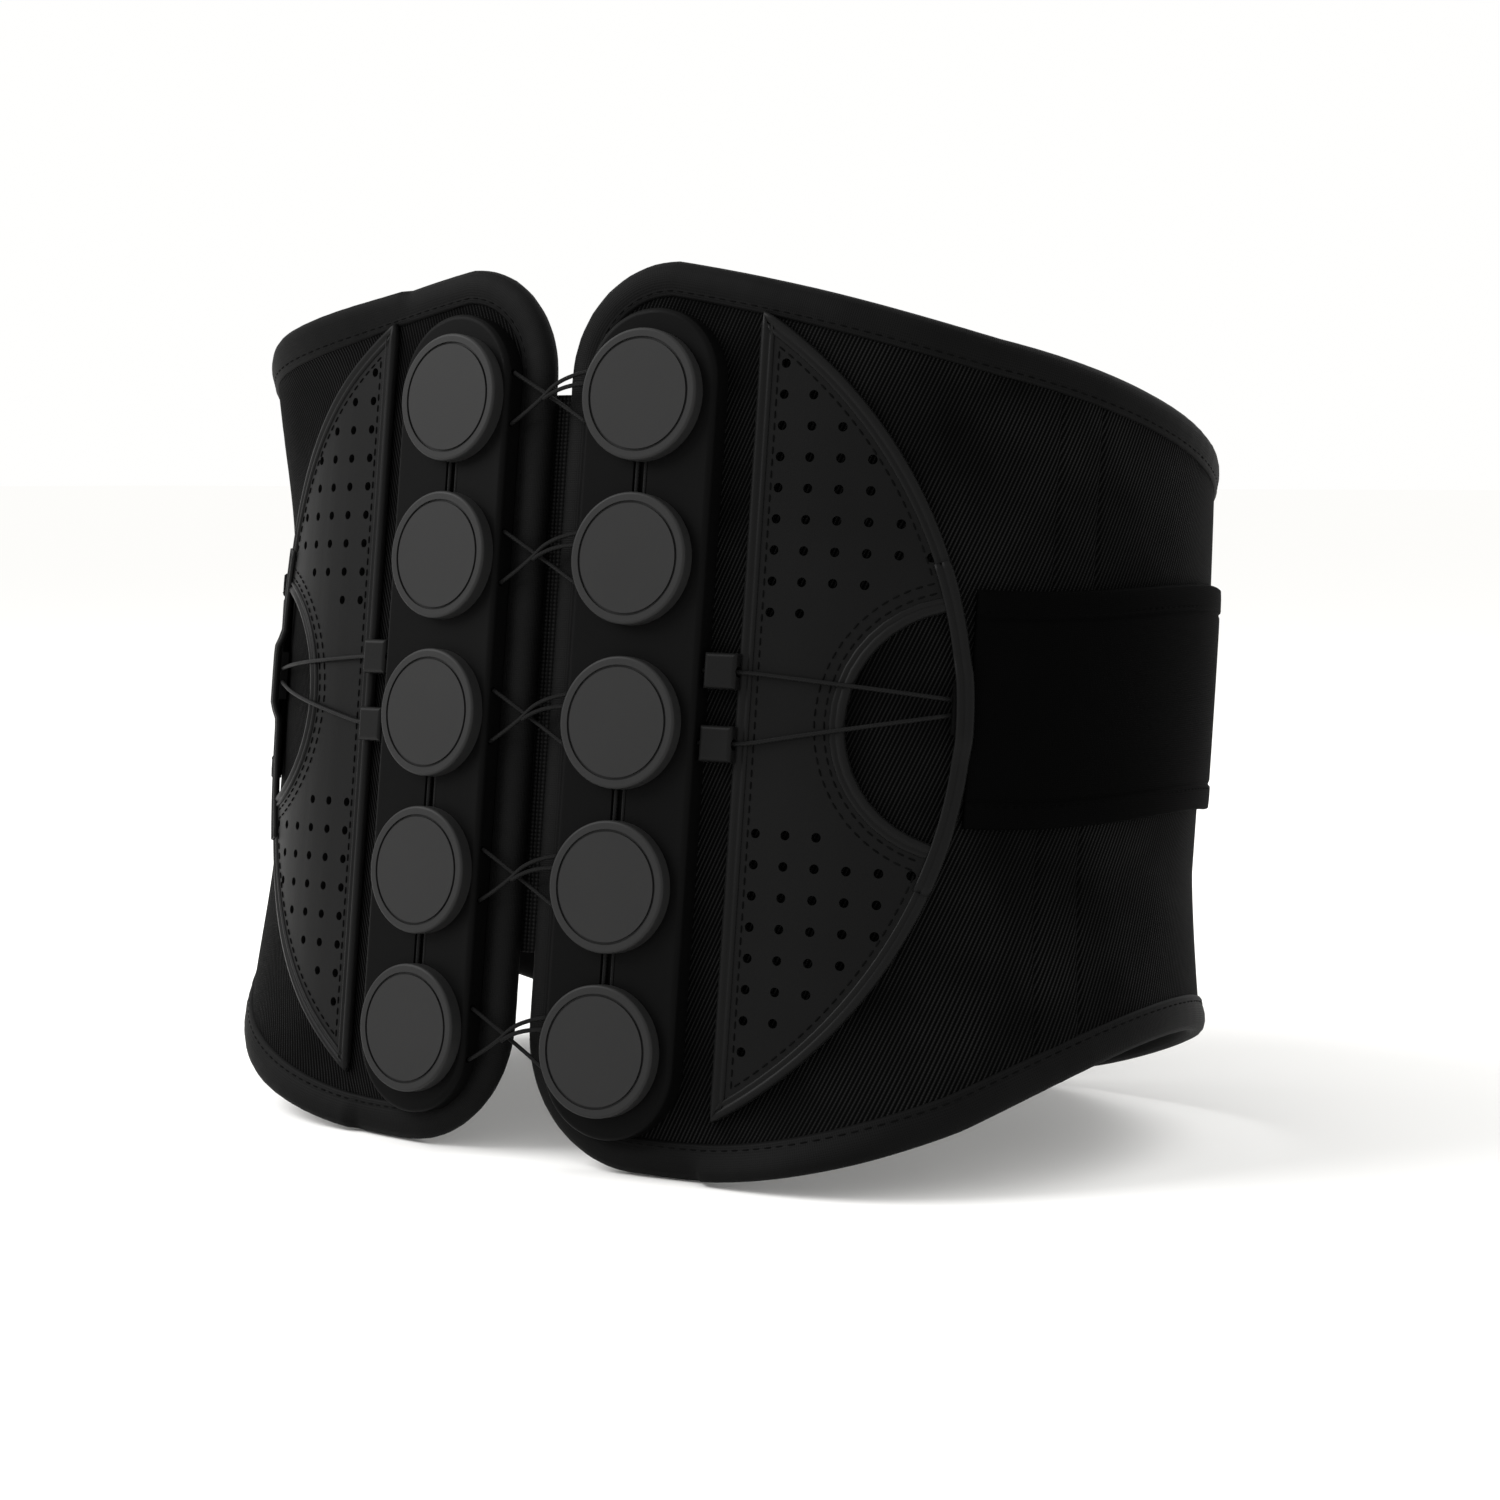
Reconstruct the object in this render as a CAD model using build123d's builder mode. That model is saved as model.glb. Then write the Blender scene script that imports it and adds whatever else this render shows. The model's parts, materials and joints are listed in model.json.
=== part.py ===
"""Lumbar support belt with a pulley-laced back, in millimetres.

The belt is built upright about its own axis, with the laced back towards -Y and the wearer's
front towards +Y.  A place on it is a station, the distance round the wing's outer face from the
middle of the back, an offset out of that face, and a height above the wing's lowest edge.
Every finished piece is then leaned forward by one angle, so that the belt stands on the lower
edges of its back and of its front flap.  The left half mirrors the right half, which is +X.
"""
import os
from math import cos, pi, radians, sin, tan

from build123d import *

# The belt's plan: a shallow back arc, a side arc and a flat front.
BACK_R = 384.0
BACK_RUN = 76.0
SIDE_R = 85.0
GAP = 8.0
LEAN = 6.75

# The wing's outline.
BACK_HEIGHT = 240.0
TOP_PEAK_X = 35.0
TOP_MID = (80.0, 231.5)
TURN_HEADING = 45.0
TOP_TURN = 222.0
TOP_SLOPE = 0.2
BOTTOM_FLAT_X = 50.0
BOTTOM_TURN = 19.5
ARCH = (112.0, 45.0)
FRONT_RISE = 2.2
CORNER_TOP_R = 30.0
CORNER_BOTTOM_R = 35.0

# Layers of the wall.
WING_T = 4.0
BINDING_T = 0.8
BINDING_W = 9.0
LINING_T = 2.0
LINING_START = 26.0
LINING_INSET = 10.0
CLEARANCE = 0.3
STAY_T = 1.2
STAY_W = 12.0
STAYS = ((31.5, 22.0, 216.0), (92.0, 28.0, 206.0), (151.0, 48.0, 194.0))

# Pulley plate and pulleys.
PLATE_STATION = 31.5
PLATE_W = 40.0
PLATE_SHIFT = 1.2
PLATE_H = 220.0
PLATE_T = 6.0
PLATE_EDGE_R = 1.6
PLATE_MID = 117.5
PULLEYS = 5
PULLEY_PITCH = 43.25
CAP_R = 17.5
CAP_T = 4.0
CAP_EDGE_R = 0.8
CAP_RIM = 2.3
CAP_GROOVE = 0.7
SHEAVE_R = 8.0
SHEAVE_T = 2.8
SHEAVE_GROOVE_R = 0.9
SHEAVE_HOLES = 4
SHEAVE_HOLE_R = 1.1
SHEAVE_HOLE_CIRCLE = 4.6
RECESS_R = 15.6
RECESS_T = 4.0
AXLE_R = 2.0
AXLE_SEAT = 1.1
AXLE_IN_CAP = 2.0
RUNNING_GAP = 0.06

# Cords and the ways they run through the plate.
CORD_R = 0.6
PORT_R = 0.9
LACE_RISE = 7.0
LACE_Z = 3.6
LACE_SPREAD = 1.6
SIDE_PORT_Z = 3.0
CHANNEL_W = 4.4
CHANNEL_T = 1.7
LINK_GAPS = (0, 2, 3)
LINK_SPREAD = 1.3
SIDE_CORD_OFFSET = 3.1

# Cord guides.
GUIDE_STATION = 58.2
GUIDE_W = 9.4
GUIDE_H = 9.5
GUIDE_T = 5.6
GUIDE_EDGE_R = 1.2
GUIDE_RISES = (15.0, -4.0)
GUIDE_HOLE_R = 1.6
GUIDE_HOLE_Z = 3.5

# D-shaped side panel with its perforations and C-shaped window.
PANEL_T = 2.0
PANEL_STATION = 63.3
PANEL_BULGE = 58.9
PANEL_HALF = 105.0
PANEL_MID = 121.0
WINDOW_R = 31.5
HOLE_R = 1.25
HOLE_START = 69.8
HOLE_PITCH = 8.2
ROW_PITCH = 8.1
UPPER_ROWS = (1, 2, 3, 4, 4, 5, 6, 4, 2)
UPPER_TOP = 213.2
LOWER_ROWS = (3, 6, 5, 5, 4, 3, 2, 1)
LOWER_TOP = 91.0

# Pull strap and the keeper that bridges it.
STRAP_MID = 126.6
STRAP_H = 61.6
STRAP_IN = 1.0
STRAP_T = 2.0
STRAP_START = 122.9
STRAP_END = 290.0
ANCHOR_LEN = 4.5
ANCHOR_H = 14.0
GRIP_START = 272.0
GRIP_END = 304.0
GRIP_T = 2.4
GRIP_H = 48.0
HOOK_START = 225.0
HOOK_END = 288.0
HOOK_H = 50.0
KEEPER_W = 6.5
KEEPER_T = 1.8
KEEPER_HALF = 43.0
KEEPER_GAP = 0.7
KEEPER_SIDE_GAP = 1.5

# Elastic panel behind the gap, and the lumbar pads.
ELASTIC_HALF = 24.0
ELASTIC_T = 1.2
ELASTIC_LOW = 51.5
ELASTIC_HIGH = 203.5
PAD_T = 8.0
PAD_START = 30.0
PAD_END = 88.0
PAD_LOW = 48.0
PAD_HIGH = 192.0
PAD_CORNER_R = 16.0

# Front closure.
FLAP_T = 4.0
FLAP_REACH = 92.0
FLAP_JOG = 12.0
FLAP_TOP = 185.0
FLAP_CORNER_R = 26.0
FLAP_HOOK_T = 1.0
FLAP_HOOK_W = 60.0
FLAP_HOOK_INSET = 14.0
LANDING_REACH = 72.0
HINGE_GAP = 0.7
LANDING_T = 0.9
LANDING_INSET = 12.0
LANDING_W = 66.0

# Values that follow from the ones above.
BACK_TURN = BACK_RUN / BACK_R
SIDE_X = (BACK_R - SIDE_R) * sin(BACK_TURN)
SIDE_Y = BACK_R - (BACK_R - SIDE_R) * cos(BACK_TURN)
FRONT_Y = SIDE_Y + SIDE_R
FRONT_RUN = BACK_RUN + SIDE_R * (pi - BACK_TURN)
TURN_X = SIDE_X + SIDE_R * sin(radians(TURN_HEADING))
TURN_Y = SIDE_Y - SIDE_R * cos(radians(TURN_HEADING))
BELOW = -20.0
TALL = BACK_HEIGHT + 40.0
BEYOND = 60.0
STRAP_OUT = STRAP_IN + STRAP_T
KEEPER_IN = STRAP_OUT + KEEPER_GAP
PANEL_PLACE = PANEL_STATION + PANEL_BULGE / 2
PULLEY_HEIGHTS = [PLATE_MID + PULLEY_PITCH * (2 - k) for k in range(PULLEYS)]
RIGHT_END = FRONT_RUN - FLAP_T / 2 - HINGE_GAP
LEFT_END = FRONT_RUN + LANDING_REACH
FLAP_IN = LANDING_T + CLEARANCE + FLAP_HOOK_T
FLAP_OUT = FLAP_IN + FLAP_T
FLAP_END_X = SIDE_X - FLAP_REACH

SIDES = ("right", "left")
pieces = []


def wall_arc(station):
    """Return the centre, radius and heading of the wall's arc at a station."""
    if station <= BACK_RUN:
        return (0.0, BACK_R), BACK_R, station / BACK_R
    return (SIDE_X, SIDE_Y), SIDE_R, BACK_TURN + (station - BACK_RUN) / SIDE_R


def wall_point(station, offset=0.0, height=0.0):
    """Return the point of the right half at a station, an offset and a height."""
    if station > FRONT_RUN:
        return Vector(SIDE_X - (station - FRONT_RUN), FRONT_Y + offset, height)
    centre, radius, heading = wall_arc(station)
    reach = radius + offset
    return Vector(centre[0] + reach * sin(heading), centre[1] - reach * cos(heading), height)


def wall_plane(station, height, offset=0.0):
    """Return the plane on the wall whose x runs round the belt, y up and z outwards."""
    heading = wall_arc(station)[2]
    return Plane(
        origin=wall_point(station, offset, height),
        x_dir=(cos(heading), sin(heading), 0),
        z_dir=(sin(heading), -cos(heading), 0),
    )


def floor_height(depth):
    """Return the height of the floor under the standing belt at a depth in Y."""
    heel_depth = wall_point(BOTTOM_FLAT_X, -WING_T - BINDING_T).Y
    return (depth - heel_depth) * tan(radians(LEAN)) - BINDING_T


def wall_run(offset, start, end):
    """Draw one face of the wall in plan, in the active line builder."""
    cuts = [s for s in (BACK_RUN, FRONT_RUN) if start < s < end]
    stops = [start, *cuts, end]
    for low, high in zip(stops, stops[1:]):
        first = wall_point(low, offset)
        last = wall_point(high, offset)
        if low >= FRONT_RUN:
            Line(first, last)
        else:
            ThreePointArc(first, wall_point((low + high) / 2, offset), last)


def layer(inner, outer, start, end, low=BELOW, high=TALL):
    """Return a layer of the wall between two offsets, two stations and two heights."""
    with BuildPart() as slab:
        with BuildSketch(Plane.XY.offset(low)):
            with BuildLine():
                wall_run(inner, start, end)
                wall_run(outer, start, end)
                Line(wall_point(start, inner), wall_point(start, outer))
                Line(wall_point(end, inner), wall_point(end, outer))
            make_face()
        extrude(amount=high - low)
    return slab.part


def outline(grow):
    """Return the solid that trims a layer to the wing's outline, grown by an amount."""
    front_low = floor_height(FRONT_Y) + FRONT_RISE
    front_far = FRONT_Y + BEYOND
    near = TURN_Y - BEYOND
    with BuildPart() as trim:
        with BuildSketch(Plane.YZ) as side:
            with BuildLine():
                ThreePointArc((TURN_Y, BOTTOM_TURN), ARCH, (FRONT_Y, front_low))
                Polyline(
                    (FRONT_Y, front_low),
                    (front_far, front_low),
                    (front_far, TOP_TURN - TOP_SLOPE * (front_far - TURN_Y)),
                    (near, TOP_TURN + TOP_SLOPE * BEYOND),
                    (near, BOTTOM_TURN),
                    (TURN_Y, BOTTOM_TURN),
                )
            make_face()
            offset(amount=grow)
        extrude(side.sketch, amount=SIDE_R + BEYOND * 2)
        extrude(side.sketch, amount=-BEYOND * 2)
        split(bisect_by=Plane.XZ.offset(-TURN_Y), keep=Keep.BOTTOM)
        with BuildSketch(Plane.XZ) as back:
            with BuildLine():
                rise = TangentArc((BOTTOM_FLAT_X, 0), (TURN_X, BOTTOM_TURN), tangent=(1, 0))
                crest = ThreePointArc((TOP_PEAK_X, BACK_HEIGHT), TOP_MID, (TURN_X, TOP_TURN))
                Polyline(rise @ 1, rise @ 1 + rise % 1 * BEYOND, crest @ 1 + crest % 1 * BEYOND, crest @ 1)
                FilletPolyline(
                    (TOP_PEAK_X, BACK_HEIGHT),
                    (GAP / 2, BACK_HEIGHT),
                    (GAP / 2, 0),
                    (BOTTOM_FLAT_X, 0),
                    radius=(CORNER_TOP_R, CORNER_BOTTOM_R),
                )
            make_face()
            offset(amount=grow)
        extrude(back.sketch, amount=BEYOND)
        extrude(back.sketch, amount=-TURN_Y)
    return trim.part


def tube(points):
    """Return a cord's tube along straight runs joined by the widest arcs they allow."""
    points = [Vector(*p) for p in points]
    radii = []
    for before, here, after in zip(points, points[1:], points[2:]):
        turn = radians((here - before).get_angle(after - here))
        radii.append(0.45 * min((here - before).length, (after - here).length) / tan(turn / 2))
    with BuildPart() as cord:
        with BuildLine() as path:
            if radii:
                FilletPolyline(*points, radius=radii)
            else:
                Line(*points)
        with BuildSketch(Plane(path.line @ 0, z_dir=path.line % 0)):
            Circle(CORD_R)
        sweep()
    return cord.part


def keep(piece, name, side="right"):
    """File a finished piece under its name, mirrored if it is on the left."""
    shape = piece.part if side == "right" else mirror(piece.part, about=Plane.YZ)
    pieces.append((name, shape))


# Trims shared by the wings, their bindings and their linings.
EDGE = outline(0)
EDGE_OUTER = outline(BINDING_T)
EDGE_INNER = outline(-BINDING_W)
EDGE_LINING = outline(-LINING_INSET)


def stay(station, low, high):
    """Return the flat spring stay that fills its pocket in the wing."""
    middle = -WING_T / 2
    return layer(
        middle - STAY_T / 2, middle + STAY_T / 2, station - STAY_W / 2, station + STAY_W / 2, low, high
    )


def make_wall(side, end, bound_end):
    """Make one half's wing with its stays, edge binding and lining."""
    with BuildPart() as stays:
        add([stay(*place) for place in STAYS])
    with BuildPart() as wing:
        add(layer(-WING_T, 0, 0, end))
        add(EDGE, mode=Mode.INTERSECT)
        add(stays.part, mode=Mode.SUBTRACT)
    keep(stays, f"{side}_stays", side)
    keep(wing, f"{side}_wing", side)

    cut_end = end - BINDING_W if bound_end else end + BEYOND
    skin_end = end + BINDING_T if bound_end else end
    with BuildPart() as field:
        add(layer(-WING_T - 2 * BINDING_T, 2 * BINDING_T, 0, cut_end))
        add(EDGE_INNER, mode=Mode.INTERSECT)
    with BuildPart() as binding:
        add(layer(-WING_T - BINDING_T, BINDING_T, 0, skin_end))
        add(EDGE_OUTER, mode=Mode.INTERSECT)
        add(field.part, mode=Mode.SUBTRACT)
        add(wing.part, mode=Mode.SUBTRACT)
        add(stays.part, mode=Mode.SUBTRACT)
    keep(binding, f"{side}_binding", side)

    with BuildPart() as lining:
        add(layer(-WING_T - LINING_T, -WING_T, LINING_START, end - LINING_INSET))
        add(EDGE_LINING, mode=Mode.INTERSECT)
    keep(lining, f"{side}_lining", side)


def make_pad(side):
    """Make one half's foam lumbar pad, inside the lining."""
    middle = (PAD_START + PAD_END) / 2
    with BuildPart() as pad:
        add(layer(-WING_T - LINING_T - PAD_T, -WING_T - LINING_T, PAD_START, PAD_END, PAD_LOW, PAD_HIGH))
        with BuildSketch(wall_plane(middle, (PAD_LOW + PAD_HIGH) / 2)):
            RectangleRounded(PAD_END - PAD_START, PAD_HIGH - PAD_LOW, PAD_CORNER_R)
        extrude(amount=BEYOND, both=True, mode=Mode.INTERSECT)
    keep(pad, f"{side}_lumbar_pad", side)


def make_plate(side):
    """Make one half's pulley plate with its recesses, cord ports and link channels."""
    with BuildPart() as binding_relief:
        add(layer(-BINDING_T, BINDING_T, 0, PLATE_STATION + PLATE_W))
        add(EDGE_INNER, mode=Mode.SUBTRACT)
    with BuildPart() as plate:
        with BuildSketch(wall_plane(PLATE_STATION, PLATE_MID, -1)):
            with Locations((PLATE_SHIFT, 0)):
                SlotOverall(PLATE_H, PLATE_W, rotation=90)
        extrude(amount=PLATE_T + 1)
        face = plate.faces().filter_by(wall_plane(PLATE_STATION, 0)).sort_by(Axis.Y)[0]
        fillet(face.edges(), PLATE_EDGE_R)
        with BuildSketch(Plane.XY.offset(BELOW)):
            with Locations((0, BACK_R)):
                Circle(BACK_R)
        extrude(amount=TALL, mode=Mode.SUBTRACT)
        add(binding_relief.part, mode=Mode.SUBTRACT)
        for height in PULLEY_HEIGHTS:
            with BuildSketch(wall_plane(PLATE_STATION, height, PLATE_T)):
                Circle(RECESS_R)
            extrude(amount=-RECESS_T, mode=Mode.SUBTRACT)
            with BuildSketch(wall_plane(PLATE_STATION, height, PLATE_T - RECESS_T)):
                Circle(AXLE_R)
            extrude(amount=-AXLE_SEAT, mode=Mode.SUBTRACT)
            for rise in (LACE_RISE, -LACE_RISE):
                bore = wall_plane(PLATE_STATION, height + rise, LACE_Z)
                with BuildSketch(Plane(bore.origin, x_dir=bore.z_dir, z_dir=-bore.x_dir)):
                    Circle(PORT_R)
                extrude(amount=PLATE_W, mode=Mode.SUBTRACT)
        for rise in GUIDE_RISES:
            bore = wall_plane(PLATE_STATION, PLATE_MID + rise, SIDE_PORT_Z)
            with BuildSketch(Plane(bore.origin, x_dir=bore.z_dir, z_dir=bore.x_dir)):
                Circle(PORT_R)
            extrude(amount=PLATE_W, mode=Mode.SUBTRACT)
        for gap in LINK_GAPS:
            height = PULLEY_HEIGHTS[gap] - PULLEY_PITCH / 2
            with BuildSketch(wall_plane(PLATE_STATION, height, PLATE_T)):
                Rectangle(CHANNEL_W, PULLEY_PITCH)
            extrude(amount=-CHANNEL_T, mode=Mode.SUBTRACT)
    keep(plate, f"{side}_pulley_plate", side)

    with BuildPart() as links:
        for gap in LINK_GAPS:
            for spread in (LINK_SPREAD, -LINK_SPREAD):
                run = PULLEY_PITCH - 2 * RECESS_R
                top = wall_plane(PLATE_STATION, PULLEY_HEIGHTS[gap] - RECESS_R, PLATE_T - CHANNEL_T / 2)
                with BuildSketch(Plane(top.from_local_coords((spread, 0, 0)), z_dir=(0, 0, -1))):
                    Circle(CORD_R)
                extrude(amount=run)
    keep(links, f"{side}_link_cords", side)


def make_pulleys(side):
    """Make one half's pulley caps, grooved sheaves and axle pins."""
    floor = PLATE_T - RECESS_T
    sheave_mid = floor + CLEARANCE + SHEAVE_T / 2
    with BuildPart() as axles:
        for height in PULLEY_HEIGHTS:
            with BuildSketch(wall_plane(PLATE_STATION, height, floor - AXLE_SEAT)):
                Circle(AXLE_R)
            extrude(amount=AXLE_SEAT + RECESS_T + AXLE_IN_CAP)
    keep(axles, f"{side}_axle_pins", side)

    for number, height in enumerate(PULLEY_HEIGHTS, start=1):
        with BuildPart() as sheave:
            with Locations(wall_plane(PLATE_STATION, height, sheave_mid)):
                Cylinder(SHEAVE_R, SHEAVE_T)
                Cylinder(AXLE_R + RUNNING_GAP, SHEAVE_T, mode=Mode.SUBTRACT)
                Torus(SHEAVE_R - SHEAVE_GROOVE_R / 2, SHEAVE_GROOVE_R, mode=Mode.SUBTRACT)
                with PolarLocations(SHEAVE_HOLE_CIRCLE, SHEAVE_HOLES):
                    Cylinder(SHEAVE_HOLE_R, SHEAVE_T, mode=Mode.SUBTRACT)
        keep(sheave, f"{side}_sheave_{number}", side)

        with BuildPart() as cap:
            with BuildSketch(wall_plane(PLATE_STATION, height, PLATE_T)):
                Circle(CAP_R)
            extrude(amount=CAP_T)
            face = cap.faces().sort_by(Axis.Y)[0]
            fillet(face.edges(), CAP_EDGE_R)
            with BuildSketch(wall_plane(PLATE_STATION, height, PLATE_T + CAP_T)):
                Circle(CAP_R - CAP_RIM)
                Circle(CAP_R - CAP_RIM - CAP_GROOVE, mode=Mode.SUBTRACT)
            extrude(amount=-CAP_GROOVE, mode=Mode.SUBTRACT)
            with BuildSketch(wall_plane(PLATE_STATION, height, PLATE_T)):
                Circle(AXLE_R)
            extrude(amount=AXLE_IN_CAP, mode=Mode.SUBTRACT)
        keep(cap, f"{side}_pulley_cap_{number}", side)


def make_guides(side):
    """Make one half's two cord guides, beside the pulley plate."""
    with BuildPart() as guides:
        for rise in GUIDE_RISES:
            with BuildPart(mode=Mode.PRIVATE) as guide:
                with BuildSketch(wall_plane(GUIDE_STATION, PLATE_MID + rise, -1)):
                    Rectangle(GUIDE_W, GUIDE_H)
                extrude(amount=GUIDE_T + 1)
                face = guide.faces().sort_by(Axis.Y)[0]
                fillet(face.edges(), GUIDE_EDGE_R)
            add(guide.part)
            bore = wall_plane(GUIDE_STATION, PLATE_MID + rise, GUIDE_HOLE_Z)
            with BuildSketch(Plane(bore.origin, x_dir=bore.z_dir, z_dir=bore.x_dir)):
                Circle(GUIDE_HOLE_R)
            extrude(amount=GUIDE_W, both=True, mode=Mode.SUBTRACT)
        with BuildSketch(Plane.XY.offset(BELOW)):
            with Locations((0, BACK_R)):
                Circle(BACK_R)
        extrude(amount=TALL, mode=Mode.SUBTRACT)
    keep(guides, f"{side}_cord_guides", side)


def panel_edge(inset):
    """Return the D-shaped prism of the side panel, drawn in by an inset."""
    straight = -PANEL_BULGE / 2
    with BuildPart() as prism:
        with BuildSketch(wall_plane(PANEL_PLACE, PANEL_MID)):
            with BuildLine():
                ThreePointArc((straight, PANEL_HALF), (-straight, 0), (straight, -PANEL_HALF))
                Line((straight, -PANEL_HALF), (straight, PANEL_HALF))
            make_face()
            if inset:
                offset(amount=-inset)
        extrude(amount=BEYOND / 2, both=True)
    return prism.part


def hole_places():
    """Return the plane of each perforation of the side panel."""
    places = []
    for top, rows in ((UPPER_TOP, UPPER_ROWS), (LOWER_TOP, LOWER_ROWS)):
        for row, count in enumerate(rows):
            for column in range(count):
                station = HOLE_START + column * HOLE_PITCH
                places.append(wall_plane(station, top - row * ROW_PITCH, PANEL_T / 2))
    return places


def make_panel(side):
    """Make one half's perforated side panel and the keeper across its window."""
    with BuildPart() as panel:
        add(layer(0, PANEL_T, PANEL_STATION, PANEL_STATION + PANEL_BULGE + BEYOND))
        add(panel_edge(0), mode=Mode.INTERSECT)
        with BuildSketch(wall_plane(PANEL_PLACE, PANEL_MID)):
            with Locations((PANEL_BULGE / 2, 0)):
                Circle(WINDOW_R)
        extrude(amount=BEYOND / 2, both=True, mode=Mode.SUBTRACT)
        with Locations(*hole_places()):
            Cylinder(HOLE_R, PANEL_T * 2, mode=Mode.SUBTRACT)
    keep(panel, f"{side}_side_panel", side)

    low = STRAP_MID - STRAP_H / 2 - KEEPER_SIDE_GAP
    high = STRAP_MID + STRAP_H / 2 + KEEPER_SIDE_GAP
    reach = (PANEL_PLACE, PANEL_PLACE + BEYOND)
    with BuildPart() as keeper:
        add(layer(PANEL_T, KEEPER_IN + KEEPER_T, *reach, PANEL_MID - KEEPER_HALF, PANEL_MID + KEEPER_HALF))
        add(panel_edge(0), mode=Mode.INTERSECT)
        add(panel_edge(KEEPER_W), mode=Mode.SUBTRACT)
        add(layer(0, KEEPER_IN, *reach, low, high), mode=Mode.SUBTRACT)
    keep(keeper, f"{side}_strap_keeper", side)


def make_strap(side):
    """Make one half's pull strap with its anchor, grip and hook patch, and its side cords."""
    half = STRAP_H / 2
    with BuildPart() as strap:
        add(layer(STRAP_IN, STRAP_OUT, STRAP_START, STRAP_END, STRAP_MID - half, STRAP_MID + half))
    keep(strap, f"{side}_pull_strap", side)

    anchor_start = STRAP_START - ANCHOR_LEN
    half = ANCHOR_H / 2
    with BuildPart() as anchor:
        add(layer(STRAP_IN, STRAP_OUT, anchor_start, STRAP_START, STRAP_MID - half, STRAP_MID + half))
    keep(anchor, f"{side}_cord_anchor", side)

    half = GRIP_H / 2
    with BuildPart() as grip:
        add(layer(STRAP_OUT, STRAP_OUT + GRIP_T, GRIP_START, GRIP_END, STRAP_MID - half, STRAP_MID + half))
        corners = grip.edges().filter_by(lambda e: abs(e.length - GRIP_T) < 0.01)
        fillet(corners, GRIP_H / 6)
    keep(grip, f"{side}_strap_grip", side)

    half = HOOK_H / 2
    with BuildPart() as hook:
        add(layer(CLEARANCE, STRAP_IN, HOOK_START, HOOK_END, STRAP_MID - half, STRAP_MID + half))
    keep(hook, f"{side}_strap_hook_patch", side)

    exit_plane = wall_plane(PLATE_STATION, PLATE_MID)
    guide_exit = GUIDE_STATION + GUIDE_W / 2 + 2 * CORD_R
    with BuildPart() as cords:
        for way, rise in zip((1, -1), GUIDE_RISES):
            route = [
                exit_plane.from_local_coords((PLATE_SHIFT + PLATE_W / 2, rise, SIDE_PORT_Z)),
                wall_point(guide_exit, GUIDE_HOLE_Z, PLATE_MID + rise),
            ]
            last_height = STRAP_MID + way * ANCHOR_H / 7
            for share in (0.17, 0.33, 0.5, 0.67, 0.83, 1.0):
                station = guide_exit + (anchor_start - CLEARANCE - guide_exit) * share
                height = PLATE_MID + rise + (last_height - PLATE_MID - rise) * share
                drop = (SIDE_CORD_OFFSET - STRAP_OUT + CORD_R) * share**4
                route.append(wall_point(station, SIDE_CORD_OFFSET - drop, height))
            add(tube(route))
    keep(cords, f"{side}_side_cords", side)


for side, end in zip(SIDES, (RIGHT_END, LEFT_END)):
    make_wall(side, end, bound_end=side == "left")
    make_pad(side)
    make_plate(side)
    make_pulleys(side)
    make_guides(side)
    make_panel(side)
    make_strap(side)

# Elastic panel that joins the halves behind the gap.
with BuildPart() as elastic:
    inner = -WING_T - BINDING_T - CLEARANCE / 3
    add(layer(inner - ELASTIC_T, inner, 0, ELASTIC_HALF, ELASTIC_LOW, ELASTIC_HIGH))
    mirror(about=Plane.YZ)
keep(elastic, "elastic_panel")

# Crossed lacing between the two pulley plates.
with BuildPart() as lacing:
    plate_edge = wall_plane(PLATE_STATION, 0)
    for height in PULLEY_HEIGHTS:
        for way in (1, -1):
            edge_place = (PLATE_SHIFT - PLATE_W / 2, height - way * LACE_RISE, LACE_Z)
            port = plate_edge.from_local_coords(edge_place)
            middle = Vector(0, port.Y - way * LACE_SPREAD / 2, height)
            add(tube([(-port.X, port.Y, height + way * LACE_RISE), middle, port]))
keep(lacing, "crossed_lacing")

# Loop patch on the left front, under the flap.
FRONT_LOW = floor_height(FRONT_Y + FLAP_OUT + BINDING_T) + BINDING_T
with BuildPart() as landing:
    low = FRONT_LOW + LANDING_INSET
    high = FLAP_TOP - LANDING_INSET
    add(layer(0, LANDING_T, LEFT_END - LANDING_W - LANDING_INSET, LEFT_END - LANDING_INSET, low, high))
keep(landing, "landing_loop_patch", "left")


def flap_outline(grow, reach_x):
    """Return the prism of the front flap's outline, grown by an amount, up to a place in X."""
    with BuildPart() as prism:
        with BuildSketch(Plane.XZ):
            with BuildLine():
                FilletPolyline(
                    (reach_x + BEYOND, FLAP_TOP),
                    (FLAP_END_X, FLAP_TOP),
                    (FLAP_END_X, FRONT_LOW),
                    (reach_x + BEYOND, FRONT_LOW),
                    radius=FLAP_CORNER_R,
                )
                Line((reach_x + BEYOND, FRONT_LOW), (reach_x + BEYOND, FLAP_TOP))
            make_face()
            offset(amount=grow)
        extrude(amount=-(FRONT_Y + BEYOND))
        split(bisect_by=Plane.YZ.offset(reach_x), keep=Keep.BOTTOM)
    return prism.part


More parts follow.
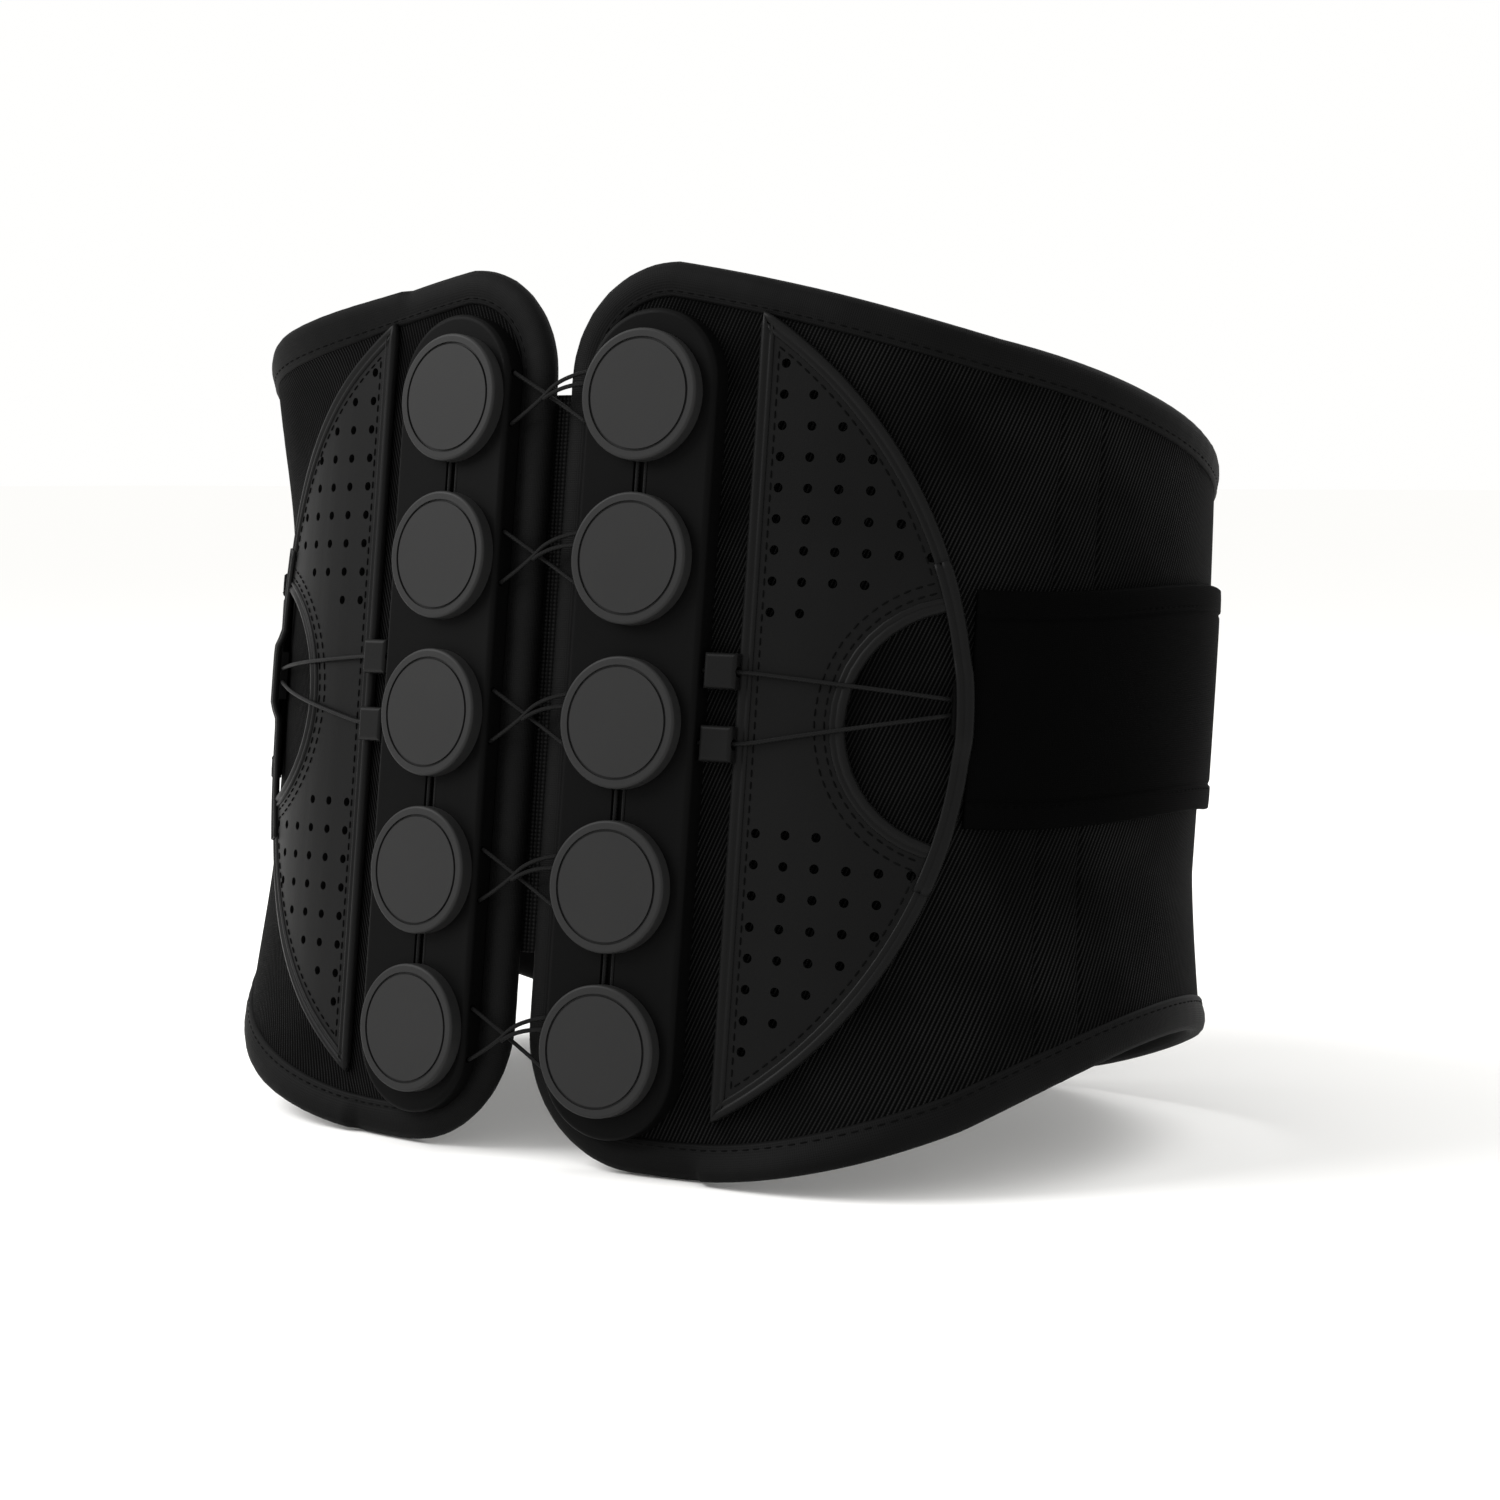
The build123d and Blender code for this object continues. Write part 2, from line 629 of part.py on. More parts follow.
# Front flap, with a round hinge edge, a jog outwards and a flat field over the left front.
HINGE_Y = FRONT_Y - FLAP_T / 2
JOG_X = SIDE_X - FLAP_JOG
with BuildPart() as flap:
    with BuildSketch(Plane.XY.offset(BELOW)):
        with Locations((SIDE_X, HINGE_Y)):
            Circle(FLAP_T / 2)
        with BuildLine():
            Polyline(
                (SIDE_X, HINGE_Y - FLAP_T / 2),
                (SIDE_X, HINGE_Y + FLAP_T / 2),
                (JOG_X, FRONT_Y + FLAP_OUT),
                (FLAP_END_X, FRONT_Y + FLAP_OUT),
                (FLAP_END_X, FRONT_Y + FLAP_IN),
                (JOG_X, FRONT_Y + FLAP_IN),
                close=True,
            )
        make_face()
    extrude(amount=TALL)
    add(flap_outline(0, SIDE_X + BEYOND / 2), mode=Mode.INTERSECT)
keep(flap, "front_flap")

# Binding folded round the flap's top, bottom and free end.
with BuildPart() as flap_binding:
    with BuildSketch(Plane.XY.offset(BELOW)):
        with Locations((JOG_X, FRONT_Y + FLAP_IN - BINDING_T)):
            Rectangle(FLAP_REACH, FLAP_T + 2 * BINDING_T, align=(Align.MAX, Align.MIN))
    extrude(amount=TALL)
    add(flap_outline(BINDING_T, JOG_X), mode=Mode.INTERSECT)
    add(flap_outline(-BINDING_W, JOG_X + BEYOND / 2), mode=Mode.SUBTRACT)
    add(flap.part, mode=Mode.SUBTRACT)
keep(flap_binding, "flap_binding")

# Hook patch on the flap's inner face.
with BuildPart() as flap_hook:
    with BuildSketch(Plane.XZ.offset(-FRONT_Y - FLAP_IN)):
        with Locations((FLAP_END_X + FLAP_HOOK_INSET, (FRONT_LOW + FLAP_TOP) / 2)):
            height = FLAP_TOP - FRONT_LOW - 2 * FLAP_HOOK_INSET
            Rectangle(FLAP_HOOK_W, height, align=(Align.MIN, Align.CENTER))
    extrude(amount=FLAP_HOOK_T)
keep(flap_hook, "flap_hook_patch")

# Lean the belt, centre its footprint on the origin and stand it on the floor.
leaned = [(name, shape.rotate(Axis.X, -LEAN)) for name, shape in pieces]
box = Compound([shape for name, shape in leaned]).bounding_box()
SHIFT = Vector(-(box.min.X + box.max.X) / 2, -(box.min.Y + box.max.Y) / 2, -box.min.Z)

if __name__ == "__main__":
    os.makedirs("parts", exist_ok=True)
    for name, shape in leaned:
        placed = shape.moved(Location(SHIFT))
        placed.label = name
        export_step(placed, f"parts/{name}.step")
    print(f"{len(pieces)} pieces, {box.size.X:.1f} x {box.size.Y:.1f} x {box.size.Z:.1f} mm")
    print(f"shift {SHIFT.X:.3f}, {SHIFT.Y:.3f}, {SHIFT.Z:.3f} mm")
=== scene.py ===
"""Lumbar support belt: soft goods, cords, materials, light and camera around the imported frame.

Places on the belt are written as in the design: a station, the distance round the wing's outer
face from the middle of the back, an offset out of that face and a height, all in millimetres.
place() turns them into metres in the shared frame.
"""
import json
import math

import bmesh
import bpy
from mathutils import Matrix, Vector


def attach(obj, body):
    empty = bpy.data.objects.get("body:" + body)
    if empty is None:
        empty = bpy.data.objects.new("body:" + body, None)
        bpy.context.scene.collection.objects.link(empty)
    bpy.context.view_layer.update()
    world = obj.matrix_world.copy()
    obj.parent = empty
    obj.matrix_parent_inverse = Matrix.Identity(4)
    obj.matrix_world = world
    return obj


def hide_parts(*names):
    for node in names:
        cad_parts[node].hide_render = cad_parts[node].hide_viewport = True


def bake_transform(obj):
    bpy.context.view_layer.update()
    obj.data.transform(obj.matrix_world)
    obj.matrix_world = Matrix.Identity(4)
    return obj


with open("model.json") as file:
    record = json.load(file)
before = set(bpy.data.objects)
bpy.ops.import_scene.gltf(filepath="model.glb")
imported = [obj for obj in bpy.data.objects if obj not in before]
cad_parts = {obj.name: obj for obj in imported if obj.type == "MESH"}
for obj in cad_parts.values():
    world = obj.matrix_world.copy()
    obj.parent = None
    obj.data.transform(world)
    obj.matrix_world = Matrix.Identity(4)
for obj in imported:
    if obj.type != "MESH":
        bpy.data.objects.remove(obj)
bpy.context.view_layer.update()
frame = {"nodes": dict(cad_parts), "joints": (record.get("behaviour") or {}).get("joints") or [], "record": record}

JOINTS = {joint["name"]: joint for joint in frame["joints"]}

# ------------------------------------------------------------------ the belt's own measures, in mm
MM = 0.001
BACK_R, BACK_RUN, SIDE_R = 384.0, 76.0, 85.0
GAP = 8.0
BACK_HEIGHT = 240.0
TOP_PEAK_X, TOP_MID, TOP_TURN, TOP_SLOPE = 35.0, (80.0, 231.5), 222.0, 0.2
BOTTOM_FLAT_X, BOTTOM_TURN, ARCH = 50.0, 19.5, (112.0, 45.0)
CORNER_TOP_R, CORNER_BOTTOM_R = 30.0, 35.0
FRONT_LOW = 23.4
WING_T = 4.0
PLATE_STATION, PLATE_T, PLATE_MID = 31.5, 6.0, 117.5
PLATE_INNER, PLATE_OUTER = -18.8, 21.2
PULLEY_PITCH = 43.25
LACE_RISE, LACE_Z = 7.0, 3.6
CORD_R = 0.6
LINK_GAPS, LINK_SPREAD = (0, 2, 3), 1.3
GUIDE_STATION, GUIDE_W, GUIDE_Z = 58.2, 9.4, 3.5
GUIDE_RISES = (15.0, -4.0)
SIDE_PORT_Z = 3.0
PANEL_STATION, PANEL_BULGE, PANEL_HALF, PANEL_MID = 63.3, 58.9, 105.0, 121.0
WINDOW_R = 31.5
STRAP_MID, STRAP_H, STRAP_IN, STRAP_T = 126.6, 61.6, 1.0, 2.0
STRAP_RISE, STRAP_RISE_RUN = 9.0, 95.0
STRAP_START, STRAP_END = 122.9, 290.0
ANCHOR_LEN, ANCHOR_H = 4.5, 14.0
GRIP_START, GRIP_END, GRIP_H, GRIP_T = 272.0, 304.0, 48.0, 2.4
HOOK_START, HOOK_END, HOOK_H = 225.0, 288.0, 50.0
KEEPER_HALF = 43.0
STAY_BAND = (144.5, 157.5)
FLAP_IN, FLAP_T, FLAP_REACH, FLAP_TOP, FLAP_LOW = 2.2, 4.0, 92.0, 185.0, 22.8
FLAP_CORNER, FLAP_RAMP, FLAP_JOG, HINGE_GAP = 26.0, 12.0, 4.1, 0.7
LANDING_REACH = 72.0
STAYS = ((31.5, 22.0, 216.0), (92.0, 28.0, 206.0), (151.0, 48.0, 194.0))
STAY_W = 12.0
PAD_LOW, PAD_HIGH, PAD_START, PAD_END, PAD_CORNER = 48.0, 192.0, 30.0, 88.0, 16.0
ELASTIC_REACH, ELASTIC_LOW, ELASTIC_HIGH = 24.0, 54.0, 206.0
BINDING_SEAM, PANEL_SEAM, WINDOW_SEAMS = 7.3, 4.6, (4.4, 7.0)

TURN = BACK_RUN / BACK_R
SIDE_X = (BACK_R - SIDE_R) * math.sin(TURN)
SIDE_Y = BACK_R - (BACK_R - SIDE_R) * math.cos(TURN)
FRONT_Y = SIDE_Y + SIDE_R
FRONT_RUN = BACK_RUN + SIDE_R * (math.pi - TURN)
RIGHT_END = FRONT_RUN - FLAP_T / 2 - HINGE_GAP
LEFT_END = FRONT_RUN + LANDING_REACH
DIAGONAL = math.sqrt(0.5)
TURN_X = SIDE_X + SIDE_R * DIAGONAL
TURN_Y = SIDE_Y - SIDE_R * DIAGONAL
PULLEY_HEIGHTS = [PLATE_MID + PULLEY_PITCH * (2 - k) for k in range(5)]
SIDES = (("right", 1), ("left", -1))

# The side panel's outline, and how far the cloth beyond it flares out above and below the strap.
PANEL_PLACE = PANEL_STATION + PANEL_BULGE / 2
D_R = (PANEL_HALF**2 + PANEL_BULGE**2) / (2 * PANEL_BULGE)
D_X = PANEL_BULGE / 2 - D_R
NOTCH_TURN = 2 * math.asin(WINDOW_R / 2 / D_R)
FLARE = {1: (-1.5, 7.5), -1: (9.0, 4.5)}

# The belt's lean, and where its axis stands, come from the right strap's hinge.
UP = Vector(JOINTS["pull_right_strap"]["axis"]).normalized()
AHEAD = Vector((0.0, UP.z, -UP.y))
ANCHOR_POINT = Vector(JOINTS["pull_right_strap"]["pos_m"])
BASE = ANCHOR_POINT - Vector((SIDE_X * MM, 0, 0)) - AHEAD * SIDE_Y * MM - UP * STRAP_MID * MM


def plan(station, offset=0.0):
    """Return the plan position of a station and offset, in mm, and the wall's heading."""
    s = abs(station)
    if s > FRONT_RUN:
        return SIDE_X - (s - FRONT_RUN), FRONT_Y + offset, math.pi
    if s <= BACK_RUN:
        cx, cy, radius, heading = 0.0, BACK_R, BACK_R, s / BACK_R
    else:
        cx, cy, radius, heading = SIDE_X, SIDE_Y, SIDE_R, TURN + (s - BACK_RUN) / SIDE_R
    reach = radius + offset
    return cx + reach * math.sin(heading), cy - reach * math.cos(heading), heading


def smooth(value):
    """Return a smooth step from 0 to 1."""
    value = min(max(value, 0.0), 1.0)
    return value * value * (3 - 2 * value)


def flare(station, height, side):
    """Return how far the cloth stands out of its straight wall at a place, in mm."""
    if not 60 < station < 300:
        return 0.0
    x = SIDE_R * math.sin(min(max((station - PANEL_PLACE) / SIDE_R, -1.2), 1.5))
    away = smooth((math.hypot(x - D_X, height - PANEL_MID) - D_R) / 32)
    above, below = (max(way * (height - PANEL_MID) - 34, 0) / 60 for way in (1, -1))
    top, bottom = FLARE[side]
    grown = top * min(above, 1.3) ** 1.2 + bottom * min(below, 1.3) ** 1.2
    return away * grown * (1 - smooth((station - 235) / 60))


def strap_rise(station):
    """Return how far the strap has climbed along the wing at a station."""
    return STRAP_RISE * smooth((station - STRAP_START) / STRAP_RISE_RUN)


def place(station, offset, height, side=1):
    """Return the point of the shared frame, in metres, at a place on the belt."""
    offset += flare(abs(station), height, side)
    x, y, _ = plan(station, offset)
    x *= side if station >= 0 else -side
    return BASE + Vector((x * MM, 0, 0)) + AHEAD * (y * MM) + UP * (height * MM)


def on_plate(u, height, out, side=1):
    """Return a point on the flat plane of the pulley plate, u across it and out of it."""
    heading = PLATE_STATION / BACK_R
    x = BACK_R * math.sin(heading) + u * math.cos(heading) + out * math.sin(heading)
    y = BACK_R - BACK_R * math.cos(heading) + u * math.sin(heading) - out * math.cos(heading)
    return BASE + Vector((side * x * MM, 0, 0)) + AHEAD * (y * MM) + UP * (height * MM)


# ------------------------------------------------------------------ camera
TARGET = Vector((0.0069, 0.0080, 0.1035))
AZIMUTH, ELEVATION, DISTANCE, LENS = 33.93, 5.07, 0.9209, 75.25


def make_camera():
    """Stand the camera at its viewing angle, level, without shift or depth of field."""
    azimuth, elevation = math.radians(AZIMUTH), math.radians(ELEVATION)
    way = Vector((
        math.sin(azimuth) * math.cos(elevation),
        -math.cos(azimuth) * math.cos(elevation),
        math.sin(elevation),
    ))
    data = bpy.data.cameras.new("camera")
    data.lens = LENS
    data.sensor_width = 36.0
    camera = bpy.data.objects.new("camera", data)
    bpy.context.collection.objects.link(camera)
    camera.location = TARGET + way * DISTANCE
    camera.rotation_euler = (-way).to_track_quat("-Z", "Y").to_euler()
    bpy.context.scene.camera = camera


make_camera()


# ------------------------------------------------------------------ materials
class Shade:
    """A material under construction: a node tree with its shader and one bump chain."""

    def __init__(self, name, colour, rough, sheen=0.0, specular=0.5):
        self.mat = bpy.data.materials.new(name)
        self.mat.use_nodes = True
        self.nodes = self.mat.node_tree.nodes
        self.links = self.mat.node_tree.links
        self.shader = self.nodes["Principled BSDF"]
        self.shader.inputs["Base Color"].default_value = (*colour, 1)
        self.shader.inputs["Roughness"].default_value = rough
        self.shader.inputs["Specular IOR Level"].default_value = specular
        if sheen:
            self.shader.inputs["Sheen Weight"].default_value = sheen
            self.shader.inputs["Sheen Roughness"].default_value = 0.45
            self.shader.inputs["Sheen Tint"].default_value = (0.55, 0.56, 0.6, 1)
        self.last_bump = None

    def coords(self, attribute=None):
        """Return a vector socket: a mesh attribute, or the object's own coordinates."""
        if attribute:
            node = self.nodes.new("ShaderNodeAttribute")
            node.attribute_name = attribute
            return node.outputs["Vector"]
        return self.nodes.new("ShaderNodeTexCoord").outputs["Object"]

    def maths(self, operation, first, second=None, third=None):
        """Return a math node's result for numbers or sockets."""
        node = self.nodes.new("ShaderNodeMath")
        node.operation = operation
        for socket, value in zip(node.inputs, (first, second, third)):
            if value is None:
                continue
            if isinstance(value, (int, float)):
                socket.default_value = value
            else:
                self.links.new(value, socket)
        return node.outputs[0]

    def ribs(self, vector, direction, pitch):
        """Return 0 to 1 ribs whose crests repeat along a direction every pitch metres."""
        node = self.nodes.new("ShaderNodeVectorMath")
        node.operation = "DOT_PRODUCT"
        self.links.new(vector, node.inputs[0])
        length = math.sqrt(sum(c * c for c in direction))
        node.inputs[1].default_value = [c / length * 2 * math.pi / pitch for c in direction]
        wave = self.maths("SINE", node.outputs["Value"])
        return self.maths("MULTIPLY_ADD", wave, 0.5, 0.5)

    def noise(self, vector, scale, detail=3.0, rough=0.55):
        """Return a noise texture's value, from 0 to 1."""
        node = self.nodes.new("ShaderNodeTexNoise")
        node.inputs["Scale"].default_value = scale
        node.inputs["Detail"].default_value = detail
        node.inputs["Roughness"].default_value = rough
        self.links.new(vector, node.inputs["Vector"])
        return node.outputs["Fac"]

    def cells(self, vector, scale, feature="DISTANCE_TO_EDGE"):
        """Return a Voronoi texture's distance."""
        node = self.nodes.new("ShaderNodeTexVoronoi")
        node.feature = feature
        node.inputs["Scale"].default_value = scale
        self.links.new(vector, node.inputs["Vector"])
        return node.outputs["Distance"]

    def ramp(self, value, low, high, first, last):
        """Return value mapped from low..high to first..last, clamped."""
        node = self.nodes.new("ShaderNodeMapRange")
        node.inputs["From Min"].default_value = low
        node.inputs["From Max"].default_value = high
        node.inputs["To Min"].default_value = first
        node.inputs["To Max"].default_value = last
        self.links.new(value, node.inputs["Value"])
        return node.outputs["Result"]

    def colour(self, factor, dark, light):
        """Drive the base colour between two colours."""
        node = self.nodes.new("ShaderNodeMix")
        node.data_type = "RGBA"
        self.links.new(factor, node.inputs["Factor"])
        node.inputs["A"].default_value = (*dark, 1)
        node.inputs["B"].default_value = (*light, 1)
        self.links.new(node.outputs["Result"], self.shader.inputs["Base Color"])
        return self

    def roughness(self, factor, low, high):
        """Drive the roughness between two values."""
        self.links.new(self.ramp(factor, 0, 1, low, high), self.shader.inputs["Roughness"])
        return self

    def bump(self, height, depth, strength):
        """Add a bump of a depth in metres to the chain."""
        node = self.nodes.new("ShaderNodeBump")
        node.inputs["Strength"].default_value = strength
        node.inputs["Distance"].default_value = depth
        self.links.new(height, node.inputs["Height"])
        if self.last_bump:
            self.links.new(self.last_bump, node.inputs["Normal"])
        self.last_bump = node.outputs["Normal"]
        self.links.new(self.last_bump, self.shader.inputs["Normal"])
        return self


def grey(value):
    """Return a neutral colour."""
    return (value, value, value)


def twill_material():
    """Return the wings' diagonal twill, with painted highlights on its crests and soft patches of painted sheen.
    """
    shade = Shade("twill", grey(0.003), 0.7, specular=0.022)
    cloth = shade.coords("cloth")
    ribs = shade.ribs(cloth, (1.0, -0.42, 0), 0.00105)
    threads = shade.ribs(cloth, (0.2, 1.0, 0), 0.0007)
    blotch = shade.noise(cloth, 28)
    crests = shade.maths("POWER", ribs, 2.2)
    weave = shade.maths("MULTIPLY", crests, shade.ramp(threads, 0, 1, 0.6, 1.0))
    # The colour's pale parts are painted light: painted highlights on the rib crests, in soft patches of painted
    # sheen.
    painted_highlight_and_sheen = shade.maths("MULTIPLY", weave, shade.ramp(blotch, 0.32, 0.68, 0.3, 1.0))
    shade.colour(painted_highlight_and_sheen, grey(0.0003), grey(0.0165))
    shade.roughness(weave, 0.85, 0.55)
    return shade.bump(blotch, 0.0006, 0.25).bump(weave, 0.0003, 0.9).mat


def tape_material():
    """Return the binding's woven tape."""
    shade = Shade("binding_tape", grey(0.004), 0.6, specular=0.05)
    cloth = shade.coords("cloth")
    grain = shade.ribs(cloth, (1.0, 0.0, 0), 0.0006)
    cross = shade.ribs(cloth, (0.0, 1.0, 0), 0.0006)
    weave = shade.maths("MAXIMUM", grain, cross)
    blotch = shade.noise(cloth, 45)
    shade.colour(shade.maths("MULTIPLY", weave, blotch), grey(0.0012), grey(0.0055))
    return shade.bump(blotch, 0.0005, 0.3).bump(weave, 0.00010, 0.6).mat


def smooth_cloth_material(name, dark, light, pitch):
    """Return a fine plain weave, as on the strap and the flap."""
    shade = Shade(name, grey(dark), 0.75, specular=0.015)
    cloth = shade.coords("cloth")
    warp = shade.ribs(cloth, (1.0, 0.0, 0), pitch)
    weft = shade.ribs(cloth, (0.0, 1.0, 0), pitch)
    weave = shade.maths("MULTIPLY", warp, weft)
    blotch = shade.noise(cloth, 30)
    woven, worn = shade.maths("MULTIPLY", weave, 0.4), shade.maths("MULTIPLY", blotch, 0.6)
    shade.colour(shade.maths("ADD", woven, worn), grey(dark), grey(light))
    return shade.bump(blotch, 0.0006, 0.2).bump(weave, 0.00012, 0.7).mat


def mesh_material():
    """Return the lining's spacer mesh with open cells."""
    shade = Shade("spacer_mesh", grey(0.008), 0.85, sheen=0.02, specular=0.1)
    cloth = shade.coords("cloth")
    holes = shade.cells(cloth, 420, "F1")
    open_cell = shade.ramp(holes, 0.25, 0.5, 0.0, 1.0)
    shade.colour(open_cell, grey(0.002), grey(0.013))
    return shade.bump(open_cell, 0.0005, 0.8).mat


def pad_material():
    """Return the pads' fine knit."""
    shade = Shade("pad_knit", grey(0.01), 0.85, sheen=0.03, specular=0.1)
    here = shade.coords()
    knit = shade.cells(here, 900, "F1")
    blotch = shade.noise(here, 40)
    shade.colour(blotch, grey(0.006), grey(0.014))
    return shade.bump(blotch, 0.0008, 0.3).bump(knit, 0.0002, 0.6).mat


def leatherette_material(name, dark, light, rough):
    """Return a grained, softly mottled leatherette."""
    shade = Shade(name, grey(dark), rough, specular=0.06)
    here = shade.coords()
    grain = shade.cells(here, 1500)
    pores = shade.noise(here, 900, 2)
    blotch = shade.noise(here, 22)
    shade.colour(blotch, grey(dark), grey(light))
    shade.roughness(blotch, rough - 0.05, rough + 0.1)
    return shade.bump(grain, 0.00008, 0.35).bump(pores, 0.00006, 0.3).mat


def plastic_material(name, dark, light, rough, specular=0.2):
    """Return a moulded plastic with a faint spark texture."""
    shade = Shade(name, grey(dark), rough, specular=specular)
    here = shade.coords()
    spark = shade.noise(here, 1800, 2)
    blotch = shade.noise(here, 30)
    shade.colour(blotch, grey(dark), grey(light))
    shade.roughness(blotch, rough - 0.04, rough + 0.06)
    return shade.bump(spark, 0.00005, 0.35).mat


def cord_material():
    """Return the cords' braid."""
    shade = Shade("braided_cord", grey(0.003), 0.5, specular=0.08)
    cloth = shade.coords("cloth")
    left = shade.ribs(cloth, (1.0, 1.0, 0), 0.0007)
    right = shade.ribs(cloth, (1.0, -1.0, 0), 0.0007)
    braid = shade.maths("MAXIMUM", left, right)
    shade.colour(braid, grey(0.0010), grey(0.0065))
    return shade.bump(braid, 0.00008, 0.8).mat


def elastic_material():
    """Return the elastic's rib knit."""
    shade = Shade("ribbed_elastic", grey(0.003), 0.6, specular=0.06)
    cloth = shade.coords("cloth")
    knit = shade.ribs(cloth, (0.0, 1.0, 0), 0.0011)
    cord = shade.ribs(cloth, (1.0, 0.0, 0), 0.0013)
    shade.colour(shade.maths("MULTIPLY", knit, cord), grey(0.0008), grey(0.014))
    return shade.bump(knit, 0.00015, 0.7).bump(cord, 0.0002, 0.8).mat


def pile_material(name, scale, depth):
    """Return a hook or loop pile."""
    shade = Shade(name, grey(0.006), 0.95, sheen=0.04, specular=0.05)
    here = shade.coords()
    pile = shade.noise(here, scale, 4, 0.7)
    shade.colour(pile, grey(0.002), grey(0.012))
    return shade.bump(pile, depth, 0.9).mat


def metal_material(name):
    """Return brushed steel."""
    shade = Shade(name, grey(0.5), 0.35)
    shade.shader.inputs["Metallic"].default_value = 1.0
    brushed = shade.noise(shade.coords(), 300)
    shade.roughness(brushed, 0.28, 0.45)
    return shade.bump(brushed, 0.00003, 0.3).mat


MATERIALS = {
    "twill_fabric": twill_material(),
    "edge_binding": tape_material(),
    "spacer_mesh": mesh_material(),
    "stay_steel": metal_material("stay_steel"),
    "pad_foam": pad_material(),
    "moulded_plate": plastic_material("moulded_plate", 0.0022, 0.0032, 0.44, 0.028),
    "pulley_cap": plastic_material("pulley_cap", 0.0150, 0.0180, 0.46, 0.10),
    "sheave_plastic": plastic_material("sheave_plastic", 0.07, 0.09, 0.4),
    "pin_steel": metal_material("pin_steel"),
    "lace_cord": cord_material(),
    "side_leatherette": leatherette_material("side_leatherette", 0.0030, 0.0048, 0.36),
    "guide_leatherette": leatherette_material("guide_leatherette", 0.0045, 0.0065, 0.34),
    "strap_webbing": smooth_cloth_material("strap_webbing", 0.0004, 0.0014, 0.0005),
    "grip_rubber": plastic_material("grip_rubber", 0.006, 0.009, 0.6, 0.15),
    "hook_fastener": pile_material("hook_fastener", 1600, 0.0003),
    "loop_fastener": pile_material("loop_fastener", 900, 0.0006),
    "elastic_knit": elastic_material(),
}
THREAD = smooth_cloth_material("thread", 0.0015, 0.0045, 0.0004)
SLOT_OF = {entry["node"]: entry["material_slot"] for entry in frame["record"]["subparts"]}
for node, slot in SLOT_OF.items():
    materials = frame["nodes"][node].data.materials
    materials.clear()
    materials.append(MATERIALS[slot])


# ------------------------------------------------------------------ mesh building
def new_piece(name, verts, faces, material, cloth=None):
    """Link a smooth-shaded mesh whose cloth attribute holds where the weave runs, in metres."""
    mesh = bpy.data.meshes.new(name)
    mesh.from_pydata(verts, [], faces)
    mesh.validate()
    work = bmesh.new()
    work.from_mesh(mesh)
    bmesh.ops.recalc_face_normals(work, faces=work.faces)
    work.to_mesh(mesh)
    work.free()
    mesh.shade_smooth()
    if cloth:
        attribute = mesh.attributes.new("cloth", "FLOAT_VECTOR", "POINT")
        attribute.data.foreach_set("vector", [c * MM for point in cloth for c in point])
    mesh.materials.append(material)
    obj = bpy.data.objects.new(name, mesh)
    bpy.context.collection.objects.link(obj)
    return obj


def loops_to_mesh(name, loops, material, closed_path=False):
    """Skin closed loops of (point, cloth) into a closed mesh; open paths get end caps."""
    verts, cloth, faces = [], [], []
    count = len(loops[0])
    for loop in loops:
        for point, where in loop:
            verts.append(point)
            cloth.append(where)
    rings = len(loops)
    for i in range(rings if closed_path else rings - 1):
        a, b = i * count, (i + 1) % rings * count
        for j in range(count):
            k = (j + 1) % count
            faces.append((a + j, a + k, b + k, b + j))
    if not closed_path:
        for base in (0, (rings - 1) * count):
            for j in range(count // 2 - 1):
                faces.append((base + j, base + j + 1, base + count - 2 - j, base + count - 1 - j))
    return new_piece(name, verts, faces, material, cloth)


def spaced(start, end, step, roll=0.0, marks=()):
    """Return values from start to end about a step apart, closer over a rolled edge."""
    count = max(2, round((end - start) / step))
    values = {round(start + (end - start) * k / count, 4) for k in range(count + 1)}
    if roll:
        for share in (0.08, 0.3, 0.62):
            values |= {round(start + roll * share, 4), round(end - roll * share, 4)}
    values |= {round(m, 4) for m in marks if start < m < end}
    return sorted(values)


def edge_share(distance, roll):
    """Return how full a rolled edge is at a distance inside it, from 0.12 to 1."""
    if roll <= 0 or distance >= roll:
        return 1.0
    inside = 1 - max(distance, 0) / roll
    return max(0.12, math.sqrt(1 - inside * inside))


def slab(name, stations, span, inner, outer, material, side=1, step=4.0, roll=1.2, marks=(), relief=None):
    """Make a cloth piece of the wall: up its outer face and down its inner one at each station.

    span(station) gives its lowest and highest height, marks are distances from those edges that
    need their own rows, and relief(station, height, edge) is added to the outer offset.
    """
    first, last = stations[0], stations[-1]
    rows_low, rows_high = span((first + last) / 2)
    tall = rows_high - rows_low
    shares = [v / tall for v in spaced(0, tall, step, roll, [*marks, *(tall - m for m in marks)])]
    middle, half = (inner + outer) / 2, (outer - inner) / 2
    loops = []
    for s in stations:
        low, high = span(s)
        up, down = [], []
        for share in shares:
            h = low + (high - low) * share
            edge = min(h - low, high - h, s - first, last - s)
            full = edge_share(edge, roll)
            extra = relief(s, h, min(h - low, high - h)) * full if relief else 0.0
            up.append((place(s, middle + half * full + extra, h, side), (s, h, 0)))
            down.append((place(s, middle - half * full, h, side), (s, h, 0)))
        loops.append(up + down[::-1])
    return loops_to_mesh(name, loops, material)


def walk(path, closed=False):
    """Return, for each point of a path in station and height, its inward normal and run."""
    result, run, count = [], 0.0, len(path)
    for i, (s, h) in enumerate(path):
        before = path[i - 1] if i or closed else path[0]
        after = path[(i + 1) % count] if i + 1 < count or closed else path[-1]
        ds, dh = after[0] - before[0], after[1] - before[1]
        length = math.hypot(ds, dh) or 1.0
        if i:
            run += math.hypot(s - path[i - 1][0], h - path[i - 1][1])
        result.append(((dh / length, -ds / length), run))
    return result


